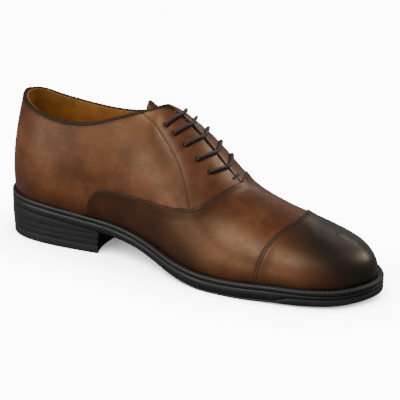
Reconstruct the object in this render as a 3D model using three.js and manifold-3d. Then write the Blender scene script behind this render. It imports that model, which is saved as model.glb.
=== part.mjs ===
// A right-foot cap-toe oxford: leather upper in layers over a stitched welt, sole and stacked heel.
// Millimetres, +Z up, toe toward +X, inner (medial) side toward +Y.
// The upper follows one curved surface, given by ribs that run from the feather line (where the
// upper meets the welt) to the topline or, ahead of the throat, to the ridge over the toes.
// A place on it is (station, rise): station 0 at the back of the heel to 14 at the toe, on either
// side, and rise 0 at the feather line to 1 at the top.

import * as THREE from 'three';
import { mergeVertices } from 'three/addons/utils/BufferGeometryUtils.js';
import Module from 'manifold-3d';

// Overall sizes
const SOLE_LENGTH = 287.5;       // heel back to toe along the welt
const SOLE_WIDTH = 101.5;        // across the welt at the ball of the foot
const UPPER_RISE = 70.5;         // top of the heel seat's feather line to the top of the back
const HEEL_RISE = 21.5;          // how much higher the feather line is at the heel than at the ball

// Leather and cloth layers of the upper, from the outside in
const UPPER_LEATHER = 1.3;
const STIFFENER = 0.9;           // heel counter, toe puff and facing stays
const LINING = 0.8;
const LAYER_GAP = 0.3;
const SEAM_GAP = 0.3;            // between neighbouring pieces of one layer
const BINDING_HEIGHT = 2.4;      // depth of the rolled edge along the topline
const BACK_TAB_WIDTH = 11;
const BACK_TAB_HEIGHT = 15;
const BACK_TAB_LEATHER = 1;

// Bottom of the shoe
const WELT_THICKNESS = 2.8;
const WELT_UNDER = 7;            // how far the welt reaches in under the upper
const FOREPART_SOLE = 11;        // feather line to ground at the ball
const WAIST_SOLE = 8.8;          // welt and outsole together at the waist and heel
const TOE_SOLE = 10.3;
const INSOLE_THICKNESS = 2.2;
const SOCK_THICKNESS = 1;
const INSOLE_INSET = 4.4;        // insole edge in from the feather line, clear of the lining
const TOE_INSET = 1.2;           // and this much more round the toe
const TREAD_THICKNESS = 1.6;
const TOE_TREAD_THICKNESS = 4.6; // the tread is thicker ahead of its notch
const TREAD_START = 146;
const TREAD_NOTCH = 232;
const TREAD_NOTCH_RUN = 9;
const SHANK_WIDTH = 13;
const SHANK_THICKNESS = 1.4;
const SHANK_START = 52;
const SHANK_END = 140;
const HEEL_LENGTH = 88.5;
const HEEL_BREAST_DEPTH = 6;     // hollow of the heel's front face
const HEEL_TAPER = 0.8;          // the heel draws in this much at the ground
const TOP_PIECE_THICKNESS = 6;
const HEEL_LIFT_THICKNESS = 4;
const HEEL_LIFTS = 2;
const SOLE_GAP = 0.3;
const CORK_GAP = 0.8;            // cork filler in from the welt's inner edge
const NAIL_RADIUS = 1.3;
const NAIL_CLEARANCE = 0.4;
const NAIL_BITE = 3.5;           // how far the heel nails reach into the outsole

// Lacing
const LACE_RADIUS = 1.25;
const EYELET_BORE = 1.75;
const EYELET_RADIUS = 2.5;
const EYELET_SAG = 0.32;         // share of its radius that an eyelet stands off from the curved leather
const EYELET_CLEARANCE = 0.35;
const EYELET_HOLE = 2.1;         // hole through the outer leather
const AGLET_RADIUS = 1.2;
const AGLET_LENGTH = 16;

// Tongue
const TONGUE_LEATHER = 1.2;
const TONGUE_DEPTH = 7.7;        // tongue's face below the upper's face, clear of the lace inside
const TONGUE_BASE_DEPTH = 4.5;   // the same at its stitched base
const TONGUE_SIDE_DEPTH = 6.4;   // the same at the sides of its free top
const TONGUE_REACH = 19;         // how far the tongue stands past the top of the facings
const TONGUE_BASE_STATION = 9.35;

// The ribs. Each row: foot x, y, z, top x, y, z, plan heading of the surface at the foot and at
// the top, outward lean at the foot, droop at the top, then the lengths of the two handles.
// Angles are degrees; headings turn from +X toward +Y.
const HEEL_BACK_RIB = [4, 0, 32.5, 10, 0, 103, 180, 180, 9, 76, 22, 24];
const LATERAL_RIBS = [
  [9.5, -18, 32.2, 15, -13, 101, 226, 228, 8, 76, 22, 24],
  [25, -29, 31.2, 29, -20.5, 95.5, 258, 258, 8, 78, 22, 22],
  [48, -32, 29.8, 50, -25, 92, 268, 268, 8, 80, 22, 20],
  [74, -30.5, 27.3, 75, -24.5, 92.5, 272, 270, 8, 78, 22, 20],
  [98, -27.5, 24, 99, -19, 99.5, 272, 268, 12, 68, 24, 24],
  [118, -28.5, 20.3, 119, -8, 105.8, 268, 266, 14, 42, 30, 24],
  [138, -34.5, 16.5, 130.5, -1.8, 105.5, 264, 262, 12, 22, 32, 24],
  [158, -42, 13, 155, -1.6, 88, 262, 265, 8, 14, 28, 26],
  [181, -46.7, 11, 184, 0, 61, 268, 270, 5, 9, 20, 28],
  [205, -46.7, 11, 209, 0, 50, 272, 272, 4, 6, 16, 28],
  [228, -43.5, 12, 230, 1, 45, 280, 278, 3, 2, 14, 26],
  [251, -38.5, 12, 244, 2, 41.5, 292, 294, 3, 0, 14, 25],
  [272.5, -27, 12.6, 250, 2.5, 39.5, 316, 320, 3, 0, 15, 23],
];
const TOE_RIB = [285.5, -2, 14, 250, 2.5, 39.5, 0, 0, 3, 0, 16, 22];
const MEDIAL_RIBS = [
  [9.5, 18, 32.2, 15, 13, 101.5, 134, 132, 8, 76, 22, 24],
  [25, 28, 31.2, 29, 20, 96.5, 102, 102, 8, 78, 22, 22],
  [48, 30, 29.8, 50, 23.5, 93, 90, 90, 8, 80, 22, 20],
  [74, 27, 27.3, 75, 23, 92, 87, 88, 12, 78, 24, 20],
  [98, 23.5, 24, 99, 18.5, 95.5, 86, 88, 16, 66, 28, 24],
  [118, 24.5, 20.3, 119, 8, 104.8, 84, 90, 16, 42, 32, 25],
  [138, 28.5, 16.5, 130.5, 1.8, 105.5, 82, 98, 14, 8, 34, 28],
  [158, 34.5, 13, 155, 1.6, 88, 82, 95, 11, -6, 28, 30],
  [181, 40.5, 11, 184, 0, 61, 86, 90, 7, -9, 20, 30],
  [205, 43.5, 11, 209, 0, 50, 92, 88, 5, -6, 16, 28],
  [228, 42, 12, 230, 1, 45, 84, 82, 3, -2, 14, 26],
  [249, 36.5, 12, 244, 2, 41.5, 65, 64, 3, 0, 14, 25],
  [271, 24, 12.6, 250, 2.5, 39.5, 41, 40, 3, 0, 15, 23],
];
const RIDGE_START = 9;           // station of the throat, where the two sides meet
const TOE_STATION = 14;
const LOOP = 28;
// Slope of the ridge line, as fall per length, at these places along the last
const RIDGE_SLOPE = [[130.5, 0.6], [155, 0.85], [184, 0.7], [209, 0.33], [230, 0.24], [250, 0.3]];

// Sizes that the rib table is drawn at, which the overall sizes stretch it from
const DRAWN = { length: 287.5, width: 101.5, rise: 70.5, heelRise: 21.5, ballFeather: 11 };

// Seams, as [station, rise] points
const VAMP_SEAM = [
  [4.19, 0], [4.22, 0.13], [4.3, 0.22], [4.49, 0.3], [4.75, 0.332], [5.2, 0.328], [5.75, 0.305],
  [6.5, 0.293], [7.25, 0.312], [7.85, 0.367], [8.3, 0.446], [8.52, 0.53], [8.74, 0.69], [8.88, 0.834],
  [9, 1],
];
const CAP_SEAM = [
  [10.46, 0], [10.46, 0.44], [10.54, 0.6], [10.7, 0.76], [10.87, 0.89], [10.93, 1],
];
const FACING_SEAM = [
  [5.57, 1], [6.01, 0.88], [6.96, 0.75], [7.4, 0.71], [7.7, 0.67], [7.96, 0.616], [8.12, 0.544],
  [8.3, 0.446],
];
const LINING_JOIN = [[6.6, 0], [7.4, 0.35], [8.3, 0.55], [8.75, 0.7], [8.9, 1]];
const HEEL_LINING_STATION = 4.4;
const COUNTER_STATION = 4.3;
const COUNTER_RISE = 0.6;
const EYELETS = [[8.45, 0.812], [8.14, 0.805], [7.78, 0.812], [7.44, 0.82], [7.12, 0.832]];

const STATION_LENGTH = 19;       // mean length along the shoe from one station to the next
const RIB_LENGTH = 70;           // mean length of a rib, foot to top

// Grid that every layer of the upper is made on, so that the layers lie parallel
const STATIONS = [
  0, 0.4, 1, 1.7, 2.4, 3.2, 4, 4.4, 5, 5.6, 6.1, 6.5, 7, 7.5, 8, 8.4, 8.7, 9,
  9.5, 10, 10.5, 11, 11.6, 12.2, 12.8, 13.4, 14,
];
const RISES = [0, 0.12, 0.26, 0.4, 0.54, 0.68, 0.8, 0.9, 0.966, 1];

const wasm = await Module();
wasm.setup();

const shoe = new THREE.Group();
const radians = THREE.MathUtils.degToRad;
const { clamp, lerp, smoothstep } = THREE.MathUtils;

// ---------------------------------------------------------------- materials

const calf = { color: 0x6b3f26, roughness: 0.38 };
const darkCalf = { color: 0x2a1710, roughness: 0.3 };
const edgeLeather = { color: 0x20140e, roughness: 0.5 };
const liningLeather = { color: 0xa9672b, roughness: 0.6 };
const board = { color: 0xb08a5e, roughness: 0.8 };
const blackRubber = { color: 0x1c1c1d, roughness: 0.55 };
const blackEdge = { color: 0x232323, roughness: 0.45 };
const waxedCotton = { color: 0x1d1512, roughness: 0.6 };
const brass = { color: 0x8a6a35, roughness: 0.35, metalness: 1 };
const steel = { color: 0x9a9a9a, roughness: 0.35, metalness: 1 };

function addMesh(name, geometry, finish) {
  geometry.computeVertexNormals();
  const mesh = new THREE.Mesh(geometry, new THREE.MeshStandardMaterial({ metalness: 0, ...finish }));
  mesh.name = name;
  shoe.add(mesh);
}

// ---------------------------------------------------------------- the curved surface

// A list of [place, value] pairs read as a line of straight stretches
function alongTable(table, place) {
  const last = table.length - 1;
  if (place <= table[0][0]) return table[0][1];
  for (let i = 0; i < last; i += 1) {
    const [fromPlace, fromValue] = table[i];
    const [toPlace, toValue] = table[i + 1];
    if (place <= toPlace) return lerp(fromValue, toValue, (place - fromPlace) / (toPlace - fromPlace));
  }
  return table[last][1];
}

const swapped = (table) => table.map(([a, b]) => [b, a]);

// Height drawn in the rib table, brought to the sizes above
function stretchHeight(drawn, drawnFoot) {
  const foot = FOREPART_SOLE + (drawnFoot - DRAWN.ballFeather) * (HEEL_RISE / DRAWN.heelRise);
  return foot + (drawn - drawnFoot) * (UPPER_RISE / DRAWN.rise);
}

const unitXY = (heading) => new THREE.Vector3(Math.cos(heading), Math.sin(heading), 0);

// The four control points of a rib: foot, foot handle, top handle, top
function ribControls(row) {
  const [footX, footY, footZ, topX, topY, topZ, ...shape] = row;
  const [footHeading, topHeading, lean, droop, footHandle, topHandle] = shape;
  const along = SOLE_LENGTH / DRAWN.length;
  const across = SOLE_WIDTH / DRAWN.width;
  const place = (v) => new THREE.Vector3(v.x * along, v.y * across, stretchHeight(v.z, footZ));
  const foot = new THREE.Vector3(footX, footY, footZ);
  const top = new THREE.Vector3(topX, topY, topZ);
  const leanDirection = unitXY(radians(footHeading)).multiplyScalar(Math.sin(radians(lean)));
  leanDirection.z = Math.cos(radians(lean));
  const topDirection = unitXY(radians(topHeading)).multiplyScalar(Math.cos(radians(droop)));
  topDirection.z = -Math.sin(radians(droop));
  if (droop < 30) topDirection.z -= alongTable(RIDGE_SLOPE, topX) * Math.cos(radians(topHeading));
  const footControl = foot.clone().addScaledVector(leanDirection, footHandle);
  const topControl = top.clone().addScaledVector(topDirection.normalize(), topHandle);
  return [place(foot), place(footControl), place(topControl), place(top)];
}

const RIBS = [HEEL_BACK_RIB, ...LATERAL_RIBS, TOE_RIB, ...MEDIAL_RIBS.slice().reverse()].map(ribControls);

// Smooth curve through four values in a row, between the middle two
function throughPoints(before, from, to, after, f) {
  const blend = new THREE.Vector3();
  const square = f * f;
  const cube = square * f;
  blend.addScaledVector(before, 0.5 * (-f + 2 * square - cube));
  blend.addScaledVector(from, 0.5 * (2 - 5 * square + 3 * cube));
  blend.addScaledVector(to, 0.5 * (f + 4 * square - 3 * cube));
  blend.addScaledVector(after, 0.5 * (cube - square));
  return blend;
}

// Point of the upper's outer face; round is 0 to 28, the lateral side first
function upperPoint(round, rise) {
  const wrapped = ((round % LOOP) + LOOP) % LOOP;
  const index = Math.floor(wrapped);
  const f = wrapped - index;
  const near = [-1, 0, 1, 2].map((step) => RIBS[(index + step + LOOP) % LOOP]);
  const [before, here, next, after] = near;
  const controls = [0, 1, 2, 3].map((k) => throughPoints(before[k], here[k], next[k], after[k], f));
  const fall = 1 - rise;
  const weights = [fall ** 3, 3 * fall * fall * rise, 3 * fall * rise * rise, rise ** 3];
  const point = new THREE.Vector3();
  controls.forEach((control, k) => point.addScaledVector(control, weights[k]));
  return point;
}

const stationOf = (round) => Math.min(round, LOOP - round);

// Outward normal; it settles to the ridge's own normal where the two sides meet
function upperNormal(round, rise) {
  const probe = clamp(rise, 0.002, 0.93);
  const wide = 0.02;
  const tall = 0.002;
  const along = upperPoint(round + wide, probe).sub(upperPoint(round - wide, probe));
  const up = upperPoint(round, probe + tall).sub(upperPoint(round, probe - tall));
  const normal = along.cross(up).normalize();
  const station = stationOf(((round % LOOP) + LOOP) % LOOP);
  const meeting = smoothstep(rise, 0.8, 1) * smoothstep(station, RIDGE_START - 0.8, RIDGE_START);
  if (meeting === 0) return normal;
  const slope = Math.atan(alongTable(RIDGE_SLOPE, upperPoint(round, 1).x * (DRAWN.length / SOLE_LENGTH)));
  const ridge = new THREE.Vector3(Math.sin(slope), 0, Math.cos(slope));
  return normal.lerp(ridge, meeting).normalize();
}

// Point at a depth inside the upper's outer face, on either side: side -1 lateral, 1 medial
function upperDepth(side, station, rise, depth) {
  const round = side < 0 ? station : LOOP - station;
  return upperPoint(round, rise).addScaledVector(upperNormal(round, rise), -depth);
}

// ---------------------------------------------------------------- solids from sheets

// Closed solid from a sheet of polygons. Each corner has two places, face and back; the sheet's
// open edges get walls. Faces turn counter-clockwise seen from the face side.
function closeSheet(polygons) {
  const faces = [];
  const places = [];
  const keyed = new Map();
  const indexOf = (corner) => {
    const key = corner.face.toArray().map((v) => Math.round(v * 1000)).join();
    if (!keyed.has(key)) {
      keyed.set(key, places.length);
      places.push(corner);
    }
    return keyed.get(key);
  };
  for (const polygon of polygons) {
    const ring = polygon.map(indexOf).filter((v, i, all) => v !== all[(i + 1) % all.length]);
    for (let i = 1; i + 1 < ring.length; i += 1) {
      if (ring[0] !== ring[i + 1]) faces.push([ring[0], ring[i], ring[i + 1]]);
    }
  }
  const edges = new Set(faces.flatMap(([a, b, c]) => [`${a}_${b}`, `${b}_${c}`, `${c}_${a}`]));
  const count = places.length;
  const index = [];
  for (const [a, b, c] of faces) {
    index.push(a, b, c, count + a, count + c, count + b);
    for (const [from, to] of [[a, b], [b, c], [c, a]]) {
      if (!edges.has(`${to}_${from}`)) index.push(to, from, count + from, to, count + from, count + to);
    }
  }
  const corners = [...places.map((p) => p.face), ...places.map((p) => p.back)];
  const positions = corners.flatMap((p) => p.toArray());
  const geometry = new THREE.BufferGeometry();
  geometry.setAttribute('position', new THREE.Float32BufferAttribute(positions, 3));
  geometry.setIndex(index);
  return geometry;
}

// Corner between two others of a polygon, at a share of the way
function between(a, b, share) {
  const first = a.key < b.key;
  const [from, to, f] = first ? [a, b, share] : [b, a, 1 - share];
  return {
    key: `${from.key}|${to.key}`,
    side: a.side,
    station: lerp(from.station, to.station, f),
    rise: lerp(from.rise, to.rise, f),
    point: from.point.clone().lerp(to.point, f),
    normal: from.normal.clone().lerp(to.normal, f),
  };
}

// Keeps the part of a polygon where the limit, in millimetres, is positive
function clipPolygon(polygon, limit) {
  const snap = 0.07;
  const values = polygon.map((corner) => {
    const value = limit(corner);
    return Math.abs(value) < snap ? 0 : value;
  });
  const kept = [];
  polygon.forEach((corner, i) => {
    const next = (i + 1) % polygon.length;
    if (values[i] >= 0) kept.push(corner);
    if (values[i] * values[next] < 0) {
      kept.push(between(corner, polygon[next], values[i] / (values[i] - values[next])));
    }
  });
  return values.some((value) => value > 0) ? kept : [];
}

const skinCorners = new Map();
function skinCorner(side, station, rise) {
  const key = `${side}:${station}:${rise}`;
  if (!skinCorners.has(key)) {
    const round = side < 0 ? station : LOOP - station;
    const point = upperPoint(round, rise);
    const normal = upperNormal(round, rise);
    skinCorners.set(key, { key, side, station, rise, point, normal });
  }
  return skinCorners.get(key);
}

// A piece of the upper between two depths, on one or both sides, inside all its limits
function skinPiece({ sides, from, to, limits }) {
  const polygons = [];
  for (const side of sides) {
    for (let j = 0; j + 1 < STATIONS.length; j += 1) {
      for (let i = 0; i + 1 < RISES.length; i += 1) {
        const corners = [[j, i], [j + 1, i], [j + 1, i + 1], [j, i + 1]];
        const [a, b, c, d] = corners.map(([u, v]) => skinCorner(side, STATIONS[u], RISES[v]));
        const triangles = side < 0 ? [[a, b, c], [a, c, d]] : [[a, c, b], [a, d, c]];
        for (const triangle of triangles) {
          const trim = (polygon, limit) => (polygon.length ? clipPolygon(polygon, limit) : polygon);
          const clipped = limits.reduce(trim, triangle);
          if (clipped.length > 2) polygons.push(clipped);
        }
      }
    }
  }
  const placed = polygons.map((polygon) => polygon.map(({ point, normal }) => ({
    face: point.clone().addScaledVector(normal, -from),
    back: point.clone().addScaledVector(normal, -to),
  })));
  return closeSheet(placed);
}

// Cuts and joins

function toSolid(geometry) {
  const bare = geometry.clone();
  for (const name of Object.keys(bare.attributes)) {
    if (name !== 'position') bare.deleteAttribute(name);
  }
  const merged = mergeVertices(bare, 1e-4);
  const vertProperties = new Float32Array(merged.attributes.position.array);
  const triVerts = new Uint32Array(merged.index.array);
  return new wasm.Manifold(new wasm.Mesh({ numProp: 3, vertProperties, triVerts }));
}

function toGeometry(solid) {
  const mesh = solid.getMesh();
  const geometry = new THREE.BufferGeometry();
  geometry.setAttribute('position', new THREE.BufferAttribute(new Float32Array(mesh.vertProperties), 3));
  geometry.setIndex(new THREE.BufferAttribute(new Uint32Array(mesh.triVerts), 1));
  return geometry;
}

function cut(geometry, tools) {
  const whole = tools.reduce((rest, tool) => rest.subtract(toSolid(tool)), toSolid(geometry));
  return toGeometry(whole);
}

// ---------------------------------------------------------------- limits between pieces

const halfSeam = SEAM_GAP / 2;
const riseOf = (table) => (station) => alongTable(table, station);
const vampSeamRise = riseOf(VAMP_SEAM);
const capSeamStation = (rise) => alongTable(swapped(CAP_SEAM), rise);
const facingSeamRise = riseOf(FACING_SEAM);
const liningJoinStation = (rise) => alongTable(swapped(LINING_JOIN), rise);
const BINDING_RISE = BINDING_HEIGHT / RIB_LENGTH;
const FACING_TOP_STATION = 7;
const STAY_BACK_STATION = 6.1;

// Above the vamp seam is positive; behind the seam's own foot everything is above it, and past
// the throat everything is below
function aboveVampSeam({ station, rise }) {
  const foot = (VAMP_SEAM[0][0] - station) * STATION_LENGTH;
  const throat = (RIDGE_START - station) * STATION_LENGTH;
  const over = (rise - vampSeamRise(station)) * RIB_LENGTH;
  return Math.max(foot, Math.min(over, throat));
}
const aheadOfCapSeam = ({ station, rise }) => (station - capSeamStation(rise)) * STATION_LENGTH;
const aboveFacingSeam = ({ station, rise }) => (rise - facingSeamRise(station)) * RIB_LENGTH;
const aheadOfLiningJoin = ({ station, rise }) => (station - liningJoinStation(rise)) * STATION_LENGTH;
const behind = (place) => ({ station }) => (place - station) * STATION_LENGTH;
const ahead = (place) => ({ station }) => (station - place) * STATION_LENGTH;
const below = (rise) => (corner) => (rise - corner.rise) * RIB_LENGTH;
const above = (rise) => (corner) => (corner.rise - rise) * RIB_LENGTH;
// Under the binding along the topline, and free ahead of it
const underBinding = (corner) => Math.max(
  below(1 - BINDING_RISE)(corner),
  ahead(FACING_TOP_STATION)(corner),
);
const not = (limit) => (corner) => -limit(corner);
const inset = (limit, margin) => (corner) => limit(corner) - margin;

// ---------------------------------------------------------------- the upper

const STIFFENER_TOP = UPPER_LEATHER + LAYER_GAP;
const LINING_TOP = STIFFENER_TOP + STIFFENER + LAYER_GAP;
const LINING_BACK = LINING_TOP + LINING;
const BOTH = [-1, 1];

// Places and directions of the eyelets on one side, rows from the throat up
function eyeletFrames(side) {
  return EYELETS.map(([station, rise]) => {
    const round = side < 0 ? station : LOOP - station;
    return { point: upperPoint(round, rise), normal: upperNormal(round, rise) };
  });
}

function alongNormal(geometry, frame, depth) {
  const turn = new THREE.Quaternion().setFromUnitVectors(new THREE.Vector3(0, 1, 0), frame.normal);
  const place = frame.point.clone().addScaledVector(frame.normal, -depth);
  return geometry.applyQuaternion(turn).translate(place.x, place.y, place.z);
}

function eyeletHoles(side, radius) {
  const depth = LINING_BACK / 2;
  return eyeletFrames(side).map((frame) => {
    return alongNormal(new THREE.CylinderGeometry(radius, radius, 3 * LINING_BACK, 10), frame, depth);
  });
}

function toeCap() {
  const limits = [inset(aheadOfCapSeam, halfSeam)];
  return skinPiece({ sides: BOTH, from: 0, to: UPPER_LEATHER, limits });
}

function vamp() {
  const limits = [inset(not(aboveVampSeam), halfSeam), inset(not(aheadOfCapSeam), halfSeam)];
  return skinPiece({ sides: BOTH, from: 0, to: UPPER_LEATHER, limits });
}

function quarter(side) {
  const limits = [inset(aboveVampSeam, halfSeam), inset(ahead(0), halfSeam), inset(underBinding, halfSeam)];
  const leather = skinPiece({ sides: [side], from: 0, to: UPPER_LEATHER, limits });
  return cut(leather, eyeletHoles(side, EYELET_HOLE));
}

function toplineBinding() {
  const limits = [inset(not(underBinding), SEAM_GAP)];
  return skinPiece({ sides: BOTH, from: 0, to: LINING_BACK, limits });
}

function backTab() {
  const reach = BACK_TAB_WIDTH / 2 / STATION_LENGTH;
  const foot = 1 - BINDING_RISE - BACK_TAB_HEIGHT / RIB_LENGTH;
  const limits = [behind(reach), above(foot), inset(underBinding, halfSeam)];
  return skinPiece({ sides: BOTH, from: -LAYER_GAP - BACK_TAB_LEATHER, to: -LAYER_GAP, limits });
}

function heelCounter() {
  const slopingTop = ({ station, rise }) => (COUNTER_RISE - 0.05 * station - rise) * RIB_LENGTH;
  const limits = [behind(COUNTER_STATION), slopingTop];
  return skinPiece({ sides: BOTH, from: STIFFENER_TOP, to: STIFFENER_TOP + STIFFENER, limits });
}

function toePuff() {
  const limits = [inset(aheadOfCapSeam, 4)];
  return skinPiece({ sides: BOTH, from: STIFFENER_TOP, to: STIFFENER_TOP + STIFFENER, limits });
}

function facingStay(side) {
  const limits = [
    inset(aboveFacingSeam, 1), inset(aboveVampSeam, 1.5), behind(RIDGE_START - 0.15),
    inset(below(1), 1), ahead(STAY_BACK_STATION), inset(underBinding, SEAM_GAP),
  ];
  const stay = skinPiece({ sides: [side], from: STIFFENER_TOP, to: STIFFENER_TOP + STIFFENER, limits });
  return cut(stay, eyeletHoles(side, EYELET_RADIUS + EYELET_CLEARANCE));
}

function heelLining() {
  const limits = [inset(behind(HEEL_LINING_STATION), halfSeam), inset(underBinding, halfSeam)];
  return skinPiece({ sides: BOTH, from: LINING_TOP, to: LINING_BACK, limits });
}

function quarterLining(side) {
  const limits = [
    inset(ahead(HEEL_LINING_STATION), halfSeam), inset(not(aheadOfLiningJoin), halfSeam),
    inset(underBinding, halfSeam),
  ];
  const lining = skinPiece({ sides: [side], from: LINING_TOP, to: LINING_BACK, limits });
  return cut(lining, eyeletHoles(side, EYELET_RADIUS + EYELET_CLEARANCE));
}

function vampLining() {
  const gapHalf = ({ station, rise }) => {
    const open = (RIDGE_START + 0.1 - station) * STATION_LENGTH;
    return Math.max(-open, (0.985 - rise) * RIB_LENGTH);
  };
  return skinPiece({
    sides: BOTH, from: LINING_TOP, to: LINING_BACK, limits: [inset(aheadOfLiningJoin, halfSeam), gapHalf],
  });
}

// Blind eyelet: a short brass tube behind the outer leather, through the stay and the lining
function eyelet(frame) {
  const top = UPPER_LEATHER + EYELET_SAG * EYELET_RADIUS;
  const bottom = LINING_BACK + 0.3;
  const profile = [
    [EYELET_BORE, -bottom], [EYELET_RADIUS, -bottom], [EYELET_RADIUS, -top], [EYELET_BORE, -top],
    [EYELET_BORE, -bottom],
  ];
  const ring = new THREE.LatheGeometry(profile.map(([x, y]) => new THREE.Vector2(x, y)), 10);
  return alongNormal(ring, frame, 0);
}

// ---------------------------------------------------------------- the tongue

// Row of the tongue at a station: across from the lateral edge to the medial edge
function tongueRow(station, depth) {
  const rises = [0.76, 0.82, 0.88, 0.94, 0.985];
  const lateral = rises.map((rise) => upperDepth(-1, station, rise, depth));
  const medial = rises.map((rise) => upperDepth(1, station, rise, depth)).reverse();
  return [...lateral, ...medial];
}

function tongueDepth(station) {
  return lerp(TONGUE_DEPTH, TONGUE_BASE_DEPTH, smoothstep(station, 8.75, 9.2));
}

// Rows past the top of the facings: station, rise of the side edges, then how far the middle has
// climbed from the last row under the facings
const TONGUE_TOP_ROWS = [[6.65, 0.84, 0.26], [6.3, 0.88, 0.52], [5.95, 0.92, 0.78], [5.72, 0.95, 1]];

// Sheet between two depths below the tongue's face, carried on past the facings at the top
function tongueSheet(from, to, trim) {
  const stations = [TONGUE_BASE_STATION - trim / STATION_LENGTH, 9.1, 8.9, 8.7, 8.4, 8.1, 7.8, 7.4, 7];
  const sheetAt = (under) => {
    const rows = stations.map((station) => tongueRow(station, tongueDepth(station) + under));
    const top = rows[rows.length - 1];
    const before = rows[rows.length - 2];
    const middle = top.length / 2;
    const centre = (row) => row[middle - 1].clone().lerp(row[middle], 0.5);
    const climb = centre(top).sub(centre(before)).normalize();
    for (const [station, rise, share] of TONGUE_TOP_ROWS) {
      const peak = centre(top).addScaledVector(climb, (TONGUE_REACH - trim) * share);
      const edges = BOTH.map((side) => upperDepth(side, station, rise, TONGUE_SIDE_DEPTH + under));
      rows.push(top.map((_, k) => {
        const f = k / (top.length - 1);
        const edge = edges[0].clone().lerp(edges[1], f);
        const crown = 1 - Math.abs(2 * f - 1) ** 2.2;
        return new THREE.Vector3(lerp(edge.x, peak.x, crown), edge.y, lerp(edge.z, peak.z, crown));
      }));
    }
    return rows;
  };
  const faces = sheetAt(from);
  const backs = sheetAt(to);
  return closeSheet(gridPolygons(faces, backs));
}

// Polygons of a grid of rows; the face side looks along +Z when rows run along -X and points +Y
function gridPolygons(faces, backs) {
  const polygons = [];
  const corner = (i, k) => ({ face: faces[i][k], back: backs[i][k] });
  for (let i = 0; i + 1 < faces.length; i += 1) {
    for (let k = 0; k + 1 < faces[i].length; k += 1) {
      polygons.push([corner(i, k), corner(i, k + 1), corner(i + 1, k + 1)]);
      polygons.push([corner(i, k), corner(i + 1, k + 1), corner(i + 1, k)]);
    }
  }
  return polygons;
}

// ---------------------------------------------------------------- the lace

const LACE_OUT = LACE_RADIUS + 0.45;                       // lace's middle above the upper's face
const LACE_IN = LINING_BACK + LACE_RADIUS + 0.75;          // and below it on its runs inside
const LACE_PASS = 4.2;                                     // sideways step past another eyelet
const LACE_LEAN = 0.18;                                    // stations a taut bar slips ahead on the slope

const eyeletPoint = (side, row, depth) => upperDepth(side, EYELETS[row][0], EYELETS[row][1], depth);

// Straight bar over the facings from one side's eyelet to the other's
function laceBar(row, fromSide) {
  const [station, rise] = EYELETS[row];
  const bend = [[rise, 0.1], [rise + 0.013, LACE_OUT - 0.5], [rise + 0.037, LACE_OUT]];
  const outward = [...bend, ...[0.91, 0.965, 1].map((place) => [place, LACE_OUT])];
  const slipped = (place) => station + LACE_LEAN * ((place - rise) / (1 - rise));
  const halfBar = (side) => outward.map(([place, height]) => upperDepth(side, slipped(place), place, -height));
  return [...halfBar(fromSide), ...halfBar(-fromSide).reverse()];
}

// Run inside from one row to another on one side; it steps sideways past an eyelet between them
function laceRun(side, fromRow, toRow, sideways) {
  const heading = eyeletPoint(side, toRow, LACE_IN).sub(eyeletPoint(side, fromRow, LACE_IN)).normalize();
  const turn = (row, sense) => [[0, 1.3], [0.9, 0.35], [2.6, 0]].map(([shift, height]) => {
    return eyeletPoint(side, row, LACE_IN - height).addScaledVector(heading, shift * sense);
  });
  const middle = [];
  if (sideways) {
    const row = (fromRow + toRow) / 2;
    const [station, rise] = EYELETS[row];
    middle.push(upperDepth(side, station, rise + sideways / RIB_LENGTH, LACE_IN));
  }
  return [...turn(fromRow, 1), ...middle, ...turn(toRow, -1).reverse()];
}

// Place on the tucked-in end of the lace, this far down inside from its eyelet
function tailPoint(side, row, down) {
  const [station, rise] = EYELETS[row];
  return upperDepth(side, station - 0.3 * (down / 20), rise - down / RIB_LENGTH, LACE_IN + 0.2);
}

const TAIL_LENGTH = 10;

function laceTail(side, row) {
  const hanging = [0.9, 3, 6.5, TAIL_LENGTH].map((down) => tailPoint(side, row, down));
  return [eyeletPoint(side, row, LACE_IN - 1.3), ...hanging];
}

function laceRoute() {
  return [
    ...laceTail(-1, 3).reverse(),
    ...laceBar(3, -1), ...laceRun(1, 3, 1, LACE_PASS), ...laceBar(1, 1), ...laceRun(-1, 1, 0, 0),
    ...laceBar(0, -1), ...laceRun(1, 0, 2, -LACE_PASS), ...laceBar(2, 1), ...laceRun(-1, 2, 4, LACE_PASS),
    ...laceBar(4, -1),
    ...laceTail(1, 4),
  ];
}

// Round tube along points, with flat ends
function tubeAlong(points, radius, sides) {
  const ahead = points.map((p, i) => {
    const next = points[Math.min(i + 1, points.length - 1)];
    return next.clone().sub(points[Math.max(i - 1, 0)]).normalize();
  });
  let across = new THREE.Vector3(0, 0, 1).cross(ahead[0]).normalize();
  const rings = points.map((p, i) => {
    across = across.clone().addScaledVector(ahead[i], -across.dot(ahead[i])).normalize();
    const up = ahead[i].clone().cross(across);
    return Array.from({ length: sides }, (_, k) => {
      const angle = (2 * Math.PI * k) / sides;
      const sideways = p.clone().addScaledVector(across, radius * Math.cos(angle));
      return sideways.addScaledVector(up, radius * Math.sin(angle));
    });
  });
  const index = [];
  for (let i = 0; i + 1 < rings.length; i += 1) {
    for (let k = 0; k < sides; k += 1) {
      const [a, b] = [i * sides + k, i * sides + ((k + 1) % sides)];
      index.push(a, b, b + sides, a, b + sides, a + sides);
    }
  }
  const last = (rings.length - 1) * sides;
  for (let k = 1; k + 1 < sides; k += 1) index.push(0, k + 1, k, last, last + k, last + k + 1);
  const geometry = new THREE.BufferGeometry();
  const positions = rings.flat().flatMap((p) => p.toArray());
  geometry.setAttribute('position', new THREE.Float32BufferAttribute(positions, 3));
  geometry.setIndex(index);
  return geometry;
}

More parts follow.
